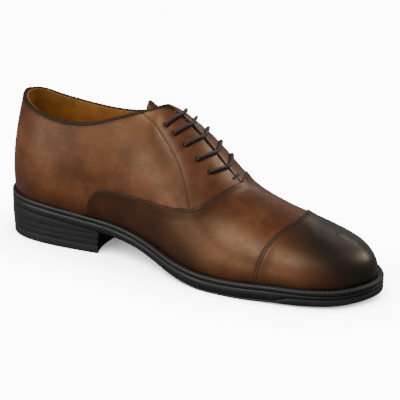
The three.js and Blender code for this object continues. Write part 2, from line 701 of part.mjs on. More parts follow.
function aglet(side, row) {
  const start = tailPoint(side, row, TAIL_LENGTH);
  const direction = tailPoint(side, row, TAIL_LENGTH + AGLET_LENGTH).sub(start).normalize();
  const middle = start.addScaledVector(direction, AGLET_LENGTH / 2 + 0.35);
  const tube = new THREE.CylinderGeometry(AGLET_RADIUS, AGLET_RADIUS, AGLET_LENGTH, 8);
  return alongNormal(tube, { point: middle, normal: direction }, 0);
}

// ---------------------------------------------------------------- the bottom

// The welt stands out from the feather line by this much, station by station
const WELT_WIDTH = [[0, 2.5], [4, 2.5], [6, 3], [9, 5], [11, 4.6], [14, 4]];

// Side line of a plan outline that runs outside (or, when negative, inside) the feather line
function sideLine(side, margin) {
  const points = [];
  for (let station = 0; station <= TOE_STATION; station += 0.25) {
    const round = side < 0 ? station : LOOP - station;
    const step = 0.02;
    const along = upperPoint(round + step, 0).sub(upperPoint(round - step, 0));
    const normal = new THREE.Vector3(along.y, -along.x, 0).normalize();
    points.push(upperPoint(round, 0).addScaledVector(normal, margin(station)));
  }
  return points;
}

const weltMargin = (station) => alongTable(WELT_WIDTH, station);
const OUTER = BOTH.map((side) => sideLine(side, weltMargin).map((p) => [p.x, p.y]));
const insoleMargin = (station) => -INSOLE_INSET - TOE_INSET * smoothstep(station, 12, 14);
const INSOLE_EDGE = BOTH.map((side) => sideLine(side, insoleMargin).map((p) => [p.x, p.y]));
const CORK_EDGE = BOTH.map((side) => sideLine(side, () => -WELT_UNDER - CORK_GAP).map((p) => [p.x, p.y]));
const FEATHER = sideLine(-1, () => 0).map((p) => [p.x, p.z]);

// Height of the feather line at a length; it runs on straight past the heel and the toe
function featherZ(x) {
  const last = FEATHER.length - 1;
  const [from, to] = x < FEATHER[1][0] ? [0, 1] : [last - 2, last];
  const outside = x < FEATHER[0][0] || x > FEATHER[last - 1][0];
  if (!outside) return alongTable(FEATHER, x);
  const slope = (FEATHER[to][1] - FEATHER[from][1]) / (FEATHER[to][0] - FEATHER[from][0]);
  return FEATHER[to][1] + (x - FEATHER[to][0]) * slope;
}
const alongScale = SOLE_LENGTH / DRAWN.length;

// Welt, outsole and tread together, below the feather line
function soleDepth(x) {
  const drawnX = x / alongScale;
  const forepart = lerp(WAIST_SOLE, FOREPART_SOLE, smoothstep(drawnX, 120, 178));
  return lerp(forepart, TOE_SOLE, smoothstep(drawnX, 208, 285));
}
const soleBottom = (x) => Math.max(0, featherZ(x) - soleDepth(x));
const treadThickness = (x) => {
  const drawnX = x / alongScale;
  const start = lerp(0.8, TREAD_THICKNESS, smoothstep(drawnX, TREAD_START, TREAD_START + 12));
  const pastNotch = clamp((drawnX - TREAD_NOTCH) / TREAD_NOTCH_RUN, 0, 1);
  return start + (TOE_TREAD_THICKNESS - TREAD_THICKNESS) * pastNotch;
};

// Places along the length, close together at the rounded ends
function lengthStops(line, from, to, extra = []) {
  const first = Math.max(from, line[0][0][0]);
  const last = Math.min(to, line[0][line[0].length - 1][0]);
  const round = [0, 0.8, 2.8, 6.5, 12.5, 21];
  const stops = [];
  if (from <= line[0][0][0]) stops.push(...round.map((d) => first + d));
  for (let x = Math.max(first, line[0][0][0] + 32); x < last - 30; x += 13) stops.push(x);
  if (to >= last && last > from + 40) stops.push(...round.map((d) => last - d));
  stops.push(first, last, ...extra.map((x) => x * alongScale).filter((x) => x > first && x < last));
  const sorted = [...new Set(stops)].filter((x) => x >= first && x <= last).sort((a, b) => a - b);
  return sorted.filter((x, i) => i === 0 || x - sorted[i - 1] > 0.05);
}

// Plan rows from the lateral to the medial side line, with points across
function planRows(line, stops, across) {
  return stops.map((x) => {
    const lateral = alongTable(line[0], x);
    const medial = alongTable(line[1], x);
    return across.map((f) => new THREE.Vector3(x, lerp(lateral, medial, f), 0));
  });
}

// Solid between two heights over plan rows
function planSolid(rows, top, bottom) {
  const lifted = (p, height) => new THREE.Vector3(p.x, p.y, height(p.x, p.y));
  const raise = (height) => rows.map((row) => row.map((p) => lifted(p, height)));
  const faces = raise(top);
  const backs = raise(bottom);
  const flipped = gridPolygons(faces, backs).map((polygon) => polygon.slice().reverse());
  return closeSheet(flipped);
}

// The welt runs all round: outer edge beyond the upper, inner edge under it
function welt() {
  const rings = [weltMargin, () => -WELT_UNDER].map((margin) => {
    const lateral = sideLine(-1, margin);
    const medial = sideLine(1, margin).reverse().slice(1);
    return [...lateral, ...medial].filter((p, i) => i % 2 === 0);
  });
  const polygons = [];
  const corner = (ring, i) => {
    const p = rings[ring][i];
    const height = featherZ(p.x) - SOLE_GAP;
    return {
      face: new THREE.Vector3(p.x, p.y, height),
      back: new THREE.Vector3(p.x, p.y, height - WELT_THICKNESS),
    };
  };
  for (let i = 0; i + 1 < rings[0].length; i += 1) {
    polygons.push([corner(0, i), corner(0, i + 1), corner(1, i + 1)]);
    polygons.push([corner(0, i), corner(1, i + 1), corner(1, i)]);
  }
  return closeSheet(polygons);
}

const FLAT = [0, 1];
const outsoleTop = (x) => featherZ(x) - WELT_THICKNESS - 2 * SOLE_GAP;
const notchStops = [
  TREAD_START - 0.3, TREAD_START, TREAD_START + 12, TREAD_NOTCH, TREAD_NOTCH + TREAD_NOTCH_RUN,
];

function outsoleBottom(x) {
  const treaded = x / alongScale >= TREAD_START - 0.2;
  return soleBottom(x) + (treaded ? treadThickness(x) + SOLE_GAP : 0);
}

function outsole() {
  const stops = lengthStops(OUTER, -Infinity, Infinity, [...notchStops, 181, 205]);
  return cut(planSolid(planRows(OUTER, stops, FLAT), outsoleTop, outsoleBottom), nailHoles());
}

function tread() {
  const stops = lengthStops(OUTER, TREAD_START * alongScale, Infinity, [...notchStops, 181, 205]);
  return planSolid(planRows(OUTER, stops, FLAT), (x) => soleBottom(x) + treadThickness(x), soleBottom);
}

function insoleBoard() {
  const stops = lengthStops(INSOLE_EDGE, -Infinity, Infinity);
  return planSolid(planRows(INSOLE_EDGE, stops, FLAT), (x) => featherZ(x) + INSOLE_THICKNESS, featherZ);
}

function sock() {
  const stops = lengthStops(INSOLE_EDGE, -Infinity, Infinity);
  const seat = (x) => featherZ(x) + INSOLE_THICKNESS + SOLE_GAP;
  return planSolid(planRows(INSOLE_EDGE, stops, FLAT), (x) => seat(x) + SOCK_THICKNESS, seat);
}

const corkTop = (x) => featherZ(x) - SOLE_GAP;
const corkBottom = (x) => outsoleTop(x) + SOLE_GAP;
const shankMiddle = (x) => (corkTop(x) + corkBottom(x)) / 2;

// Strip of spring steel along the waist, and the slot that it lies in
function shankSolid(margin) {
  const stops = [];
  const first = SHANK_START * alongScale - margin;
  const last = SHANK_END * alongScale + margin;
  for (let i = 0; i <= 10; i += 1) stops.push(lerp(first, last, i / 10));
  const width = SHANK_WIDTH / 2 + margin;
  const rows = stops.map((x) => [-width, width].map((y) => new THREE.Vector3(x, y, 0)));
  const thick = SHANK_THICKNESS / 2;
  const top = (x) => shankMiddle(x) + thick + (margin ? 5 : 0);
  return planSolid(rows, top, (x) => shankMiddle(x) - thick - margin / 2);
}

function corkFiller() {
  const stops = lengthStops(CORK_EDGE, -Infinity, Infinity);
  return cut(planSolid(planRows(CORK_EDGE, stops, FLAT), corkTop, corkBottom), [shankSolid(SOLE_GAP)]);
}

// ---------------------------------------------------------------- the heel

const heelWidthAcross = [0, 0.25, 0.5, 0.75, 1];

// Plan rows of the heel, drawn in by a margin; the last row is the hollow breast
function heelRows(drawIn) {
  const edge = (side) => sideLine(side, (station) => weltMargin(station) - drawIn);
  const line = BOTH.map((side) => edge(side).map((p) => [p.x, p.y]));
  const breast = HEEL_LENGTH - HEEL_BREAST_DEPTH - 4;
  const rows = planRows(line, lengthStops(line, -Infinity, breast), heelWidthAcross);
  const last = planRows(line, [HEEL_LENGTH - drawIn], heelWidthAcross)[0];
  const side = last[last.length - 1].y - last[0].y;
  last.forEach((p, k) => {
    const f = heelWidthAcross[k];
    p.x -= HEEL_BREAST_DEPTH * 4 * f * (1 - f);
    p.y -= Math.sign(f - 0.5) * (Math.abs(2 * f - 1) === 1 ? 0.02 * side : 0);
  });
  return [...rows, last];
}

const LIFT_TOPS = [TOP_PIECE_THICKNESS];
for (let i = 1; i <= HEEL_LIFTS; i += 1) LIFT_TOPS.push(LIFT_TOPS[i - 1] + SOLE_GAP + HEEL_LIFT_THICKNESS);
const WEDGE_BOTTOM = LIFT_TOPS[HEEL_LIFTS] + SOLE_GAP;
const heelSeat = (x) => soleBottom(x) - SOLE_GAP - 0.1;

// Five nails in a horseshoe hold the lifts together, heads down in the top piece's underside
const NAIL_PLACES = [[14, 0], [26, -17], [26, 16], [56, -20], [56, 18]];
const nailFoot = TOP_PIECE_THICKNESS + SOLE_GAP;
const nailTop = (x) => soleBottom(x) + NAIL_BITE;

function nailCylinder([x, y], margin, from, to) {
  const radius = NAIL_RADIUS + margin;
  const pin = new THREE.CylinderGeometry(radius, radius, to - from, 8);
  pin.rotateX(Math.PI / 2);
  return pin.translate(x * alongScale, y * (SOLE_WIDTH / DRAWN.width), (from + to) / 2);
}

function nailHoles() {
  return NAIL_PLACES.map((place) => {
    return nailCylinder(place, NAIL_CLEARANCE, -5, nailTop(place[0] * alongScale) + NAIL_CLEARANCE);
  });
}

function heelNail(place) {
  return nailCylinder(place, 0, nailFoot, nailTop(place[0] * alongScale));
}

function topPiece() {
  const rows = heelRows(HEEL_TAPER);
  return planSolid(rows, () => TOP_PIECE_THICKNESS, () => 0);
}

function heelLift(number) {
  const rows = heelRows(HEEL_TAPER * (1 - number / (HEEL_LIFTS + 1)));
  const top = LIFT_TOPS[number];
  return cut(planSolid(rows, () => top, () => top - HEEL_LIFT_THICKNESS), nailHoles());
}

function heelWedge() {
  return cut(planSolid(heelRows(0), heelSeat, () => WEDGE_BOTTOM), nailHoles());
}

// ---------------------------------------------------------------- assembly

addMesh('toe_cap', toeCap(), darkCalf);
addMesh('vamp', vamp(), calf);
addMesh('quarter_lateral', quarter(-1), calf);
addMesh('quarter_medial', quarter(1), calf);
addMesh('topline_binding', toplineBinding(), edgeLeather);
addMesh('back_tab', backTab(), edgeLeather);
addMesh('heel_counter', heelCounter(), board);
addMesh('toe_puff', toePuff(), board);
addMesh('facing_stay_lateral', facingStay(-1), board);
addMesh('facing_stay_medial', facingStay(1), board);
addMesh('heel_lining', heelLining(), liningLeather);
addMesh('quarter_lining_lateral', quarterLining(-1), liningLeather);
addMesh('quarter_lining_medial', quarterLining(1), liningLeather);
addMesh('vamp_lining', vampLining(), liningLeather);
addMesh('tongue', tongueSheet(0, TONGUE_LEATHER, 0), calf);
const tongueBack = TONGUE_LEATHER + LAYER_GAP;
addMesh('tongue_lining', tongueSheet(tongueBack, tongueBack + LINING, 1), liningLeather);
addMesh('insole_board', insoleBoard(), board);
addMesh('sock_lining', sock(), liningLeather);
addMesh('shank', shankSolid(0), steel);
addMesh('cork_filler', corkFiller(), board);
addMesh('welt', welt(), blackEdge);
addMesh('outsole', outsole(), blackEdge);
addMesh('forepart_tread', tread(), blackRubber);
addMesh('heel_wedge', heelWedge(), blackEdge);
for (let number = HEEL_LIFTS; number >= 1; number -= 1) {
  addMesh(`heel_lift_${number}`, heelLift(number), blackEdge);
}
addMesh('heel_top_piece', topPiece(), blackRubber);
NAIL_PLACES.forEach((place, i) => addMesh(`heel_nail_${i + 1}`, heelNail(place), steel));
for (const side of BOTH) {
  const name = side < 0 ? 'lateral' : 'medial';
  eyeletFrames(side).forEach((frame, row) => addMesh(`eyelet_${name}_${row + 1}`, eyelet(frame), brass));
}
addMesh('lace', tubeAlong(laceRoute(), LACE_RADIUS, 6), waxedCotton);
addMesh('aglet_lateral', aglet(-1, 3), edgeLeather);
addMesh('aglet_medial', aglet(1, 4), edgeLeather);

// The origin is on the ground under the middle of the shoe
const box = new THREE.Box3().setFromObject(shoe);
shoe.position.set(-(box.min.x + box.max.x) / 2, -(box.min.y + box.max.y) / 2, 0);

export default shoe;
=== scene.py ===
"""Looks of a right-foot cap-toe oxford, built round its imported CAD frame.

The shoe is lasted like a real one: every leather piece is cut from the curved surface of one last,
lapped over its neighbour, stitched, and set on a welt, a sole and a stacked heel.
"""

import logging
import math
from dataclasses import dataclass, field
from enum import Enum
from typing import Callable, Sequence

import bmesh
import bpy
import numpy as np
from mathutils import Matrix, Vector


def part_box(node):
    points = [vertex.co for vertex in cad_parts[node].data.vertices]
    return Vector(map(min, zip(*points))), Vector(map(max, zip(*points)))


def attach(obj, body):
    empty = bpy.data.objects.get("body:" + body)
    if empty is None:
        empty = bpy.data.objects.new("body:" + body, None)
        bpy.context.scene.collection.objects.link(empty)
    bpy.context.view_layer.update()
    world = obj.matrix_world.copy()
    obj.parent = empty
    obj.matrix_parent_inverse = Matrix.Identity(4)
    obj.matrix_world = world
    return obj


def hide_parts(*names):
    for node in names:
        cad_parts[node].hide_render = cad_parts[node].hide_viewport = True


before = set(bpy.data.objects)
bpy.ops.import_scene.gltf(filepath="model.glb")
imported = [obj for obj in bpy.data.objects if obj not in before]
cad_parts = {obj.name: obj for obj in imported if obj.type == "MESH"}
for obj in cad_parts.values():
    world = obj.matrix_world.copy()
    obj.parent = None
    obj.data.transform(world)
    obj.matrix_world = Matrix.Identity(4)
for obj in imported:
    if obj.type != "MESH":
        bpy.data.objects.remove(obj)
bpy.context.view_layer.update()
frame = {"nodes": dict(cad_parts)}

LOG = logging.getLogger("oxford")
MILLIMETRE = 0.001
SHOE_BODY = "shoe"
TONGUE_BODY = "tongue"

Colour = tuple[float, float, float]
Array = np.ndarray
Limit = Callable[[Array], Array]
Grid = dict[str, Array]
Table = Sequence[tuple[float, float]]
Material = bpy.types.Material
Node = bpy.types.Node
NodeTree = bpy.types.NodeTree
Piece = bpy.types.Object
Socket = bpy.types.NodeSocket


class Side(Enum):
    """The two sides of the shoe; the value is the sign of Y."""

    LATERAL = -1
    MEDIAL = 1

    @property
    def word(self) -> str:
        """Name of the side for pieces and nodes."""
        return self.name.lower()


class Ramp(Enum):
    """How a colour ramp runs from one stop to the next."""

    LINEAR = "LINEAR"
    EASE = "EASE"


# ------------------------------------------------------------------ the last


# Rows: foot x, y, z, top x, y, z, headings at foot and top, lean, droop, lengths of both handles
HEEL_BACK_RIB = (4, 0, 32.5, 10, 0, 103, 180, 180, 9, 76, 22, 24)
LATERAL_RIBS = (
    (9.5, -18, 32.2, 15, -13, 101, 226, 228, 8, 76, 22, 24),
    (25, -29, 31.2, 29, -20.5, 95.5, 258, 258, 8, 78, 22, 22),
    (48, -32, 29.8, 50, -25, 92, 268, 268, 8, 80, 22, 20),
    (74, -30.5, 27.3, 75, -24.5, 92.5, 272, 270, 8, 78, 22, 20),
    (98, -27.5, 24, 99, -19, 99.5, 272, 268, 12, 68, 24, 24),
    (118, -28.5, 20.3, 119, -8, 105.8, 268, 266, 14, 42, 30, 24),
    (138, -34.5, 16.5, 130.5, -1.8, 105.5, 264, 262, 12, 22, 32, 24),
    (158, -42, 13, 155, -1.6, 88, 262, 265, 8, 14, 28, 26),
    (181, -46.7, 11, 184, 0, 61, 268, 270, 5, 9, 20, 28),
    (205, -46.7, 11, 209, 0, 50, 272, 272, 4, 6, 16, 28),
    (228, -43.5, 12, 230, 1, 45, 280, 278, 3, 2, 14, 26),
    (251, -38.5, 12, 244, 2, 41.5, 292, 294, 3, 0, 14, 25),
    (272.5, -27, 12.6, 250, 2.5, 39.5, 316, 320, 3, 0, 15, 23),
)
TOE_RIB = (285.5, -2, 14, 250, 2.5, 39.5, 0, 0, 3, 0, 16, 22)
MEDIAL_RIBS = (
    (9.5, 18, 32.2, 15, 13, 101.5, 134, 132, 8, 76, 22, 24),
    (25, 28, 31.2, 29, 20, 96.5, 102, 102, 8, 78, 22, 22),
    (48, 30, 29.8, 50, 23.5, 93, 90, 90, 8, 80, 22, 20),
    (74, 27, 27.3, 75, 23, 92, 87, 88, 12, 78, 24, 20),
    (98, 23.5, 24, 99, 18.5, 95.5, 86, 88, 16, 66, 28, 24),
    (118, 24.5, 20.3, 119, 8, 104.8, 84, 90, 16, 42, 32, 25),
    (138, 28.5, 16.5, 130.5, 1.8, 105.5, 82, 98, 14, 8, 34, 28),
    (158, 34.5, 13, 155, 1.6, 88, 82, 95, 11, -6, 28, 30),
    (181, 40.5, 11, 184, 0, 61, 86, 90, 7, -9, 20, 30),
    (205, 43.5, 11, 209, 0, 50, 92, 88, 5, -6, 16, 28),
    (228, 42, 12, 230, 1, 45, 84, 82, 3, -2, 14, 26),
    (249, 36.5, 12, 244, 2, 41.5, 65, 64, 3, 0, 14, 25),
    (271, 24, 12.6, 250, 2.5, 39.5, 41, 40, 3, 0, 15, 23),
)
RIDGE_SLOPE = ((130.5, 0.6), (155, 0.85), (184, 0.7), (209, 0.33), (230, 0.24), (250, 0.3))
LOOP = 28
TOE = 14
THROAT = 9

# Seams on the last, as (station, rise)
VAMP_SEAM = (
    (4.19, 0), (4.22, 0.13), (4.3, 0.22), (4.49, 0.3), (4.75, 0.332), (5.2, 0.328), (5.75, 0.305),
    (6.5, 0.293), (7.25, 0.312), (7.85, 0.367), (8.3, 0.446), (8.52, 0.53), (8.74, 0.69),
    (8.88, 0.834), (9, 1),
)
CAP_SEAM = ((10.46, 0), (10.46, 0.44), (10.54, 0.6), (10.7, 0.76), (10.87, 0.89), (10.93, 1))
FACING_SEAM = (
    (5.57, 1), (6.01, 0.88), (6.96, 0.75), (7.4, 0.71), (7.7, 0.67), (7.96, 0.616),
    (8.12, 0.544), (8.3, 0.446),
)
LINING_JOIN = ((6.6, 0), (7.4, 0.35), (8.3, 0.55), (8.75, 0.7), (8.9, 1))
EYELETS = ((8.45, 0.812), (8.14, 0.805), (7.78, 0.812), (7.44, 0.82), (7.12, 0.832))
HEEL_LINING_STATION = 4.4
SEAM_POINTS = 500
FACING_EASE = 60

# Rough millimetres per station and per rise, for spreading points and for small shifts
STATION_RUN = 22
RIB_RUN = 72

# Depths of the upper's layers below its outer face, in millimetres
UPPER_LEATHER = 1.3
LINING_TOP = 2.8
LINING_BACK = 3.6


def along_table(table: Table, place: Array) -> Array:
    """Read a table of (place, value) rows at some places.

    Args:
        table: Rows in rising order of place.
        place: Where to read it.

    Returns:
        The values there, held at the ends.
    """
    return np.interp(place, [row[0] for row in table], [row[1] for row in table])


def smoothstep(value: Array, low: float, high: float) -> Array:
    """Ease from 0 at low to 1 at high."""
    f = np.clip((np.asarray(value, float) - low) / (high - low), 0, 1)
    return f * f * (3 - 2 * f)


def unit(vectors: Array) -> Array:
    """Vectors scaled to length one."""
    return vectors / np.maximum(np.linalg.norm(vectors, axis=-1, keepdims=True), 1e-12)


def curve_between(knots: Sequence[Array], f: Array) -> Array:
    """Place on a smooth curve between the middle two of four knots.

    Args:
        knots: Four knots in order.
        f: Share of the way from the second to the third.

    Returns:
        The place there.
    """
    before, here, after, beyond = knots
    slope = (after - before) * f
    bend = (2 * before - 5 * here + 4 * after - beyond) * f * f
    twist = (3 * here - before - 3 * after + beyond) * f**3
    return 0.5 * (2 * here + slope + bend + twist)


@dataclass
class Last:
    """The curved surface that the upper is pulled over, in millimetres as drawn.

    A place on it is a round, from 0 at the heel's back by the lateral side to 14 at the toe and on
    by the medial side to 28, and a rise from 0 at the feather line to 1 at the topline or ridge.
    """

    soften: float = 0.25
    ribs: Array = field(init=False)
    lengths: Array = field(init=False)
    rounds: Array = field(init=False)
    split_rounds: Array = field(init=False)
    ridge_split: Array = field(init=False)

    def __post_init__(self) -> None:
        """Work out the ribs, their lengths and the small gap that the ridge has to close."""
        rows = (HEEL_BACK_RIB, *LATERAL_RIBS, TOE_RIB, *MEDIAL_RIBS[::-1])
        self.ribs = np.array([self.rib_controls(row) for row in rows])
        self.ridge_split = np.zeros((0, 3))
        self.rounds = np.linspace(0, LOOP, 281)
        rises = np.linspace(0, 1, 21)
        places = self.point(self.rounds[:, None], rises[None, :])
        self.lengths = np.linalg.norm(np.diff(places, axis=1), axis=2).sum(axis=1)
        self.split_rounds = np.linspace(THROAT - 0.5, TOE, 1101)
        lateral = self.point(self.split_rounds, np.ones(1101))
        medial = self.point(LOOP - self.split_rounds, np.ones(1101))
        self.ridge_split = (lateral - medial) / 2

    @staticmethod
    def rib_controls(row: Sequence[float]) -> Array:
        """Four control points of a rib from its row: foot, foot handle, top handle, top.

        Args:
            row: One row of the rib tables.

        Returns:
            The four points.
        """
        foot, top = np.array(row[0:3], float), np.array(row[3:6], float)
        foot_heading, top_heading, lean, droop = np.radians(row[6:10])
        foot_handle, top_handle = row[10:12]
        outward = np.array([np.cos(foot_heading), np.sin(foot_heading), 0]) * np.sin(lean)
        outward[2] = np.cos(lean)
        over = np.array([np.cos(top_heading), np.sin(top_heading), 0]) * np.cos(droop)
        over[2] = -np.sin(droop)
        if row[9] < 30:
            over[2] -= along_table(RIDGE_SLOPE, top[0]) * np.cos(top_heading)
        return np.array([foot, foot + foot_handle * outward, top + top_handle * unit(over), top])

    def controls(self, rounds: Array) -> Array:
        """Rib controls at any round, on a smooth curve through the ribs.

        Args:
            rounds: Rounds on the last.

        Returns:
            Four control points for each round.
        """
        wrapped = np.asarray(rounds, float) % LOOP
        index = np.floor(wrapped).astype(int)
        f = (wrapped - index)[..., None, None]
        return curve_between([self.ribs[(index + k) % LOOP] for k in (-1, 0, 1, 2)], f)

    def point(self, rounds: Array, rises: Array) -> Array:
        """Points of the outer face, with the ribs' joins softened and the ridge closed.

        Args:
            rounds: Rounds on the last.
            rises: Rises on the last.

        Returns:
            Points in drawn millimetres.
        """
        rounds, rises = np.broadcast_arrays(np.asarray(rounds, float), np.asarray(rises, float))
        beside = self.controls(rounds - self.soften) + self.controls(rounds + self.soften)
        mixed = 0.5 * self.controls(rounds) + 0.25 * beside
        g = rises[..., None]
        fall = 1 - g
        place = fall**3 * mixed[..., 0, :] + 3 * fall**2 * g * mixed[..., 1, :]
        place = place + 3 * fall * g * g * mixed[..., 2, :] + g**3 * mixed[..., 3, :]
        if len(self.ridge_split):
            station = self.station(rounds)
            inside = np.where(station >= THROAT, 1.0, smoothstep(station, THROAT - 0.35, THROAT))
            side = np.where((rounds % LOOP) <= TOE, 1.0, -1.0)
            split = np.stack(
                [np.interp(station, self.split_rounds, self.ridge_split[:, k]) for k in range(3)], -1
            )
            place = place - split * (side * inside * rises**6)[..., None]
        return place

    @staticmethod
    def station(rounds: Array) -> Array:
        """Station from the heel, the same on both sides, of a round."""
        wrapped = np.asarray(rounds, float) % LOOP
        return np.minimum(wrapped, LOOP - wrapped)

    def normal(self, rounds: Array, rises: Array) -> Array:
        """Outward normals, settling to the ridge's own where the two sides meet.

        Args:
            rounds: Rounds on the last.
            rises: Rises on the last.

        Returns:
            Directions of length one.
        """
        rounds, rises = np.broadcast_arrays(np.asarray(rounds, float), np.asarray(rises, float))
        probe = np.clip(rises, 0.002, 0.93)
        along = self.point(rounds + 0.02, probe) - self.point(rounds - 0.02, probe)
        up = self.point(rounds, probe + 0.002) - self.point(rounds, probe - 0.002)
        normal = unit(np.cross(along, up))
        station = self.station(rounds)
        meeting = smoothstep(rises, 0.8, 1) * smoothstep(station, THROAT - 0.8, THROAT)
        slope = np.arctan(along_table(RIDGE_SLOPE, self.point(rounds, np.ones_like(rises))[..., 0]))
        ridge = np.stack([np.sin(slope), np.zeros_like(slope), np.cos(slope)], -1)
        return unit(normal * (1 - meeting[..., None]) + ridge * meeting[..., None])

    def at(self, rounds: Array, rises: Array, depth: Array) -> Array:
        """Points at a depth inside the outer face."""
        return self.point(rounds, rises) - self.normal(rounds, rises) * np.asarray(depth)[..., None]

    def rib_length(self, rounds: Array) -> Array:
        """Length in millimetres from the feather line to the top at a round."""
        return np.interp(np.asarray(rounds) % LOOP, self.rounds, self.lengths)


LAST = Last()


def side_round(side: Side, station: Array) -> Array:
    """Round of a station on one side."""
    station = np.asarray(station, float)
    return station if side is Side.LATERAL else LOOP - station


# ------------------------------------------------------------------ the bottom's outline

WELT_WIDTH = ((0, 2.5), (4, 2.5), (6, 3), (9, 5), (11, 4.6), (14, 4))


def plan_point(rounds: Array, margin: Array) -> Array:
    """Points beside the feather line in plan, this far outside it (inside when negative).

    Args:
        rounds: Rounds on the last.
        margin: Distance outside the line, in millimetres.

    Returns:
        Points at the feather line's height.
    """
    along = LAST.point(rounds + 0.02, 0) - LAST.point(rounds - 0.02, 0)
    outward = unit(np.stack([along[..., 1], -along[..., 0], np.zeros_like(along[..., 0])], -1))
    return LAST.point(rounds, 0) + outward * np.asarray(margin)[..., None]


def welt_margin(rounds: Array) -> Array:
    """How far the welt stands out from the feather line."""
    return along_table(WELT_WIDTH, LAST.station(rounds))


FEATHER_ROUNDS = np.linspace(0, TOE, 57)
FEATHER = LAST.point(FEATHER_ROUNDS, np.zeros(57))


def feather_height(x: Array) -> Array:
    """Height of the feather line at a length, running on straight past heel and toe.

    Args:
        x: Lengths as drawn, in millimetres.

    Returns:
        Heights in millimetres.
    """
    x = np.asarray(x, float)
    height = np.interp(x, FEATHER[:, 0], FEATHER[:, 2])
    toe_slope = (FEATHER[-1, 2] - FEATHER[-3, 2]) / (FEATHER[-1, 0] - FEATHER[-3, 0])
    heel_slope = (FEATHER[1, 2] - FEATHER[0, 2]) / (FEATHER[1, 0] - FEATHER[0, 0])
    height = height + toe_slope * np.maximum(x - FEATHER[-1, 0], 0)
    return height + heel_slope * np.minimum(x - FEATHER[0, 0], 0)


def find_centre() -> Array:
    """Middle of the drawn welt, which lies over the frame's origin.

    Returns:
        Its place as drawn, in millimetres.
    """
    rounds = np.linspace(0, LOOP, 113)
    edge = plan_point(rounds, welt_margin(rounds))
    low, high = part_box("welt")
    middle = (edge.min(axis=0) + edge.max(axis=0)) / 2
    seat = np.array([low.x + high.x, low.y + high.y, 0]) / 2 / MILLIMETRE
    return np.array([middle[0], middle[1], 0]) - seat


CENTRE = find_centre()


def to_frame(points: Array) -> Array:
    """Drawn millimetres to the frame's metres."""
    return (np.asarray(points, float) - CENTRE) * MILLIMETRE


# ------------------------------------------------------------------ meshes


@dataclass
class Skin:
    """A mesh being gathered: points, faces and soft masks for its finish."""

    name: str
    points: list[Array] = field(default_factory=list)
    faces: list[tuple[int, ...]] = field(default_factory=list)
    masks: dict[str, list[Array]] = field(default_factory=dict)
    count: int = 0

    def add(self, points: Array, faces: Sequence[Sequence[int]], **masks: Array) -> None:
        """Add points in drawn millimetres, and faces that index them.

        Args:
            points: Points of this part of the mesh.
            faces: Their indices, face by face.
            masks: Masks by name, one value or one a point.
        """
        flat = np.asarray(points, float).reshape(-1, 3)
        self.points.append(flat)
        self.faces += [tuple(int(v) + self.count for v in face) for face in faces]
        for key, values in masks.items():
            filled = np.broadcast_to(np.asarray(values, float).reshape(-1), (len(flat),))
            self.masks.setdefault(key, []).append(filled)
        self.count += len(flat)

    def build(self, weld: float = 0.0, sharp: float = 55.0) -> Piece:
        """Make the object, in metres.

        Args:
            weld: Distance in millimetres under which points are merged.
            sharp: Angle in degrees past which an edge is drawn sharp.

        Returns:
            The new object, smooth shaded.
        """
        mesh = bpy.data.meshes.new(self.name)
        mesh.from_pydata(to_frame(np.concatenate(self.points)).tolist(), [], self.faces)
        for key, values in self.masks.items():
            layer = mesh.attributes.new(key, "FLOAT", "POINT")
            layer.data.foreach_set("value", np.concatenate(values).astype(np.float32))
        work = bmesh.new()
        work.from_mesh(mesh)
        if weld:
            bmesh.ops.remove_doubles(work, verts=work.verts, dist=weld * MILLIMETRE)
        bmesh.ops.recalc_face_normals(work, faces=work.faces)
        work.to_mesh(mesh)
        work.free()
        mesh.shade_smooth()
        mesh.set_sharp_from_angle(angle=math.radians(sharp))
        obj = bpy.data.objects.new(self.name, mesh)
        bpy.context.scene.collection.objects.link(obj)
        return obj


def grid_faces(rows: int, columns: int, start: int = 0) -> list[tuple[int, int, int, int]]:
    """Quads of a grid of points stored row by row.

    Args:
        rows: How many rows.
        columns: Points in a row.
        start: Index of the first point.

    Returns:
        The quads.
    """
    faces = []
    for i in range(rows - 1):
        for j in range(columns - 1):
            a = start + i * columns + j
            faces.append((a, a + 1, a + columns + 1, a + columns))
    return faces


def rim_faces(rows: int, columns: int, skip: Sequence[str] = ()) -> list[tuple[int, int, int, int]]:
    """Quads that join the rims of two grids of one size, stored one after the other.

    Args:
        rows: How many rows.
        columns: Points in a row.
        skip: Rims to leave open.

    Returns:
        The quads.
    """
    size = rows * columns
    rims = {
        "first_row": [j for j in range(columns)],
        "last_row": [(rows - 1) * columns + j for j in range(columns)],
        "first_column": [i * columns for i in range(rows)],
        "last_column": [i * columns + columns - 1 for i in range(rows)],
    }
    faces = []
    for key, rim in rims.items():
        if key not in skip:
            faces += [(a, b, b + size, a + size) for a, b in zip(rim, rim[1:])]
    return faces


def ring_faces(rings: int, sides: int) -> list[tuple[int, ...]]:
    """Quads between closed rings of points, open at both ends.

    Args:
        rings: How many rings.
        sides: Points in a ring.

    Returns:
        The quads.
    """
    faces: list[tuple[int, ...]] = []
    for i in range(rings - 1):
        for k in range(sides):
            a, b = i * sides + k, i * sides + (k + 1) % sides
            faces.append((a, b, b + sides, a + sides))
    return faces


def tube_faces(rings: int, sides: int) -> list[tuple[int, ...]]:
    """Quads of a tube of rings, with one flat face over each end."""
    last = (rings - 1) * sides
    return [*ring_faces(rings, sides), tuple(range(sides)), tuple(range(last, last + sides))]


def circle(across: Array, up: Array, count: int) -> Array:
    """Points of a unit circle round the origin, in the plane of two directions."""
    angles = np.linspace(0, 2 * np.pi, count, endpoint=False)
    return np.outer(np.cos(angles), across) + np.outer(np.sin(angles), up)


EDGE_ROLL = ((0.0, 0.85), (0.03, 0.5), (0.12, 0.26), (0.3, 0.1), (0.55, 0.02), (0.85, 0.0))


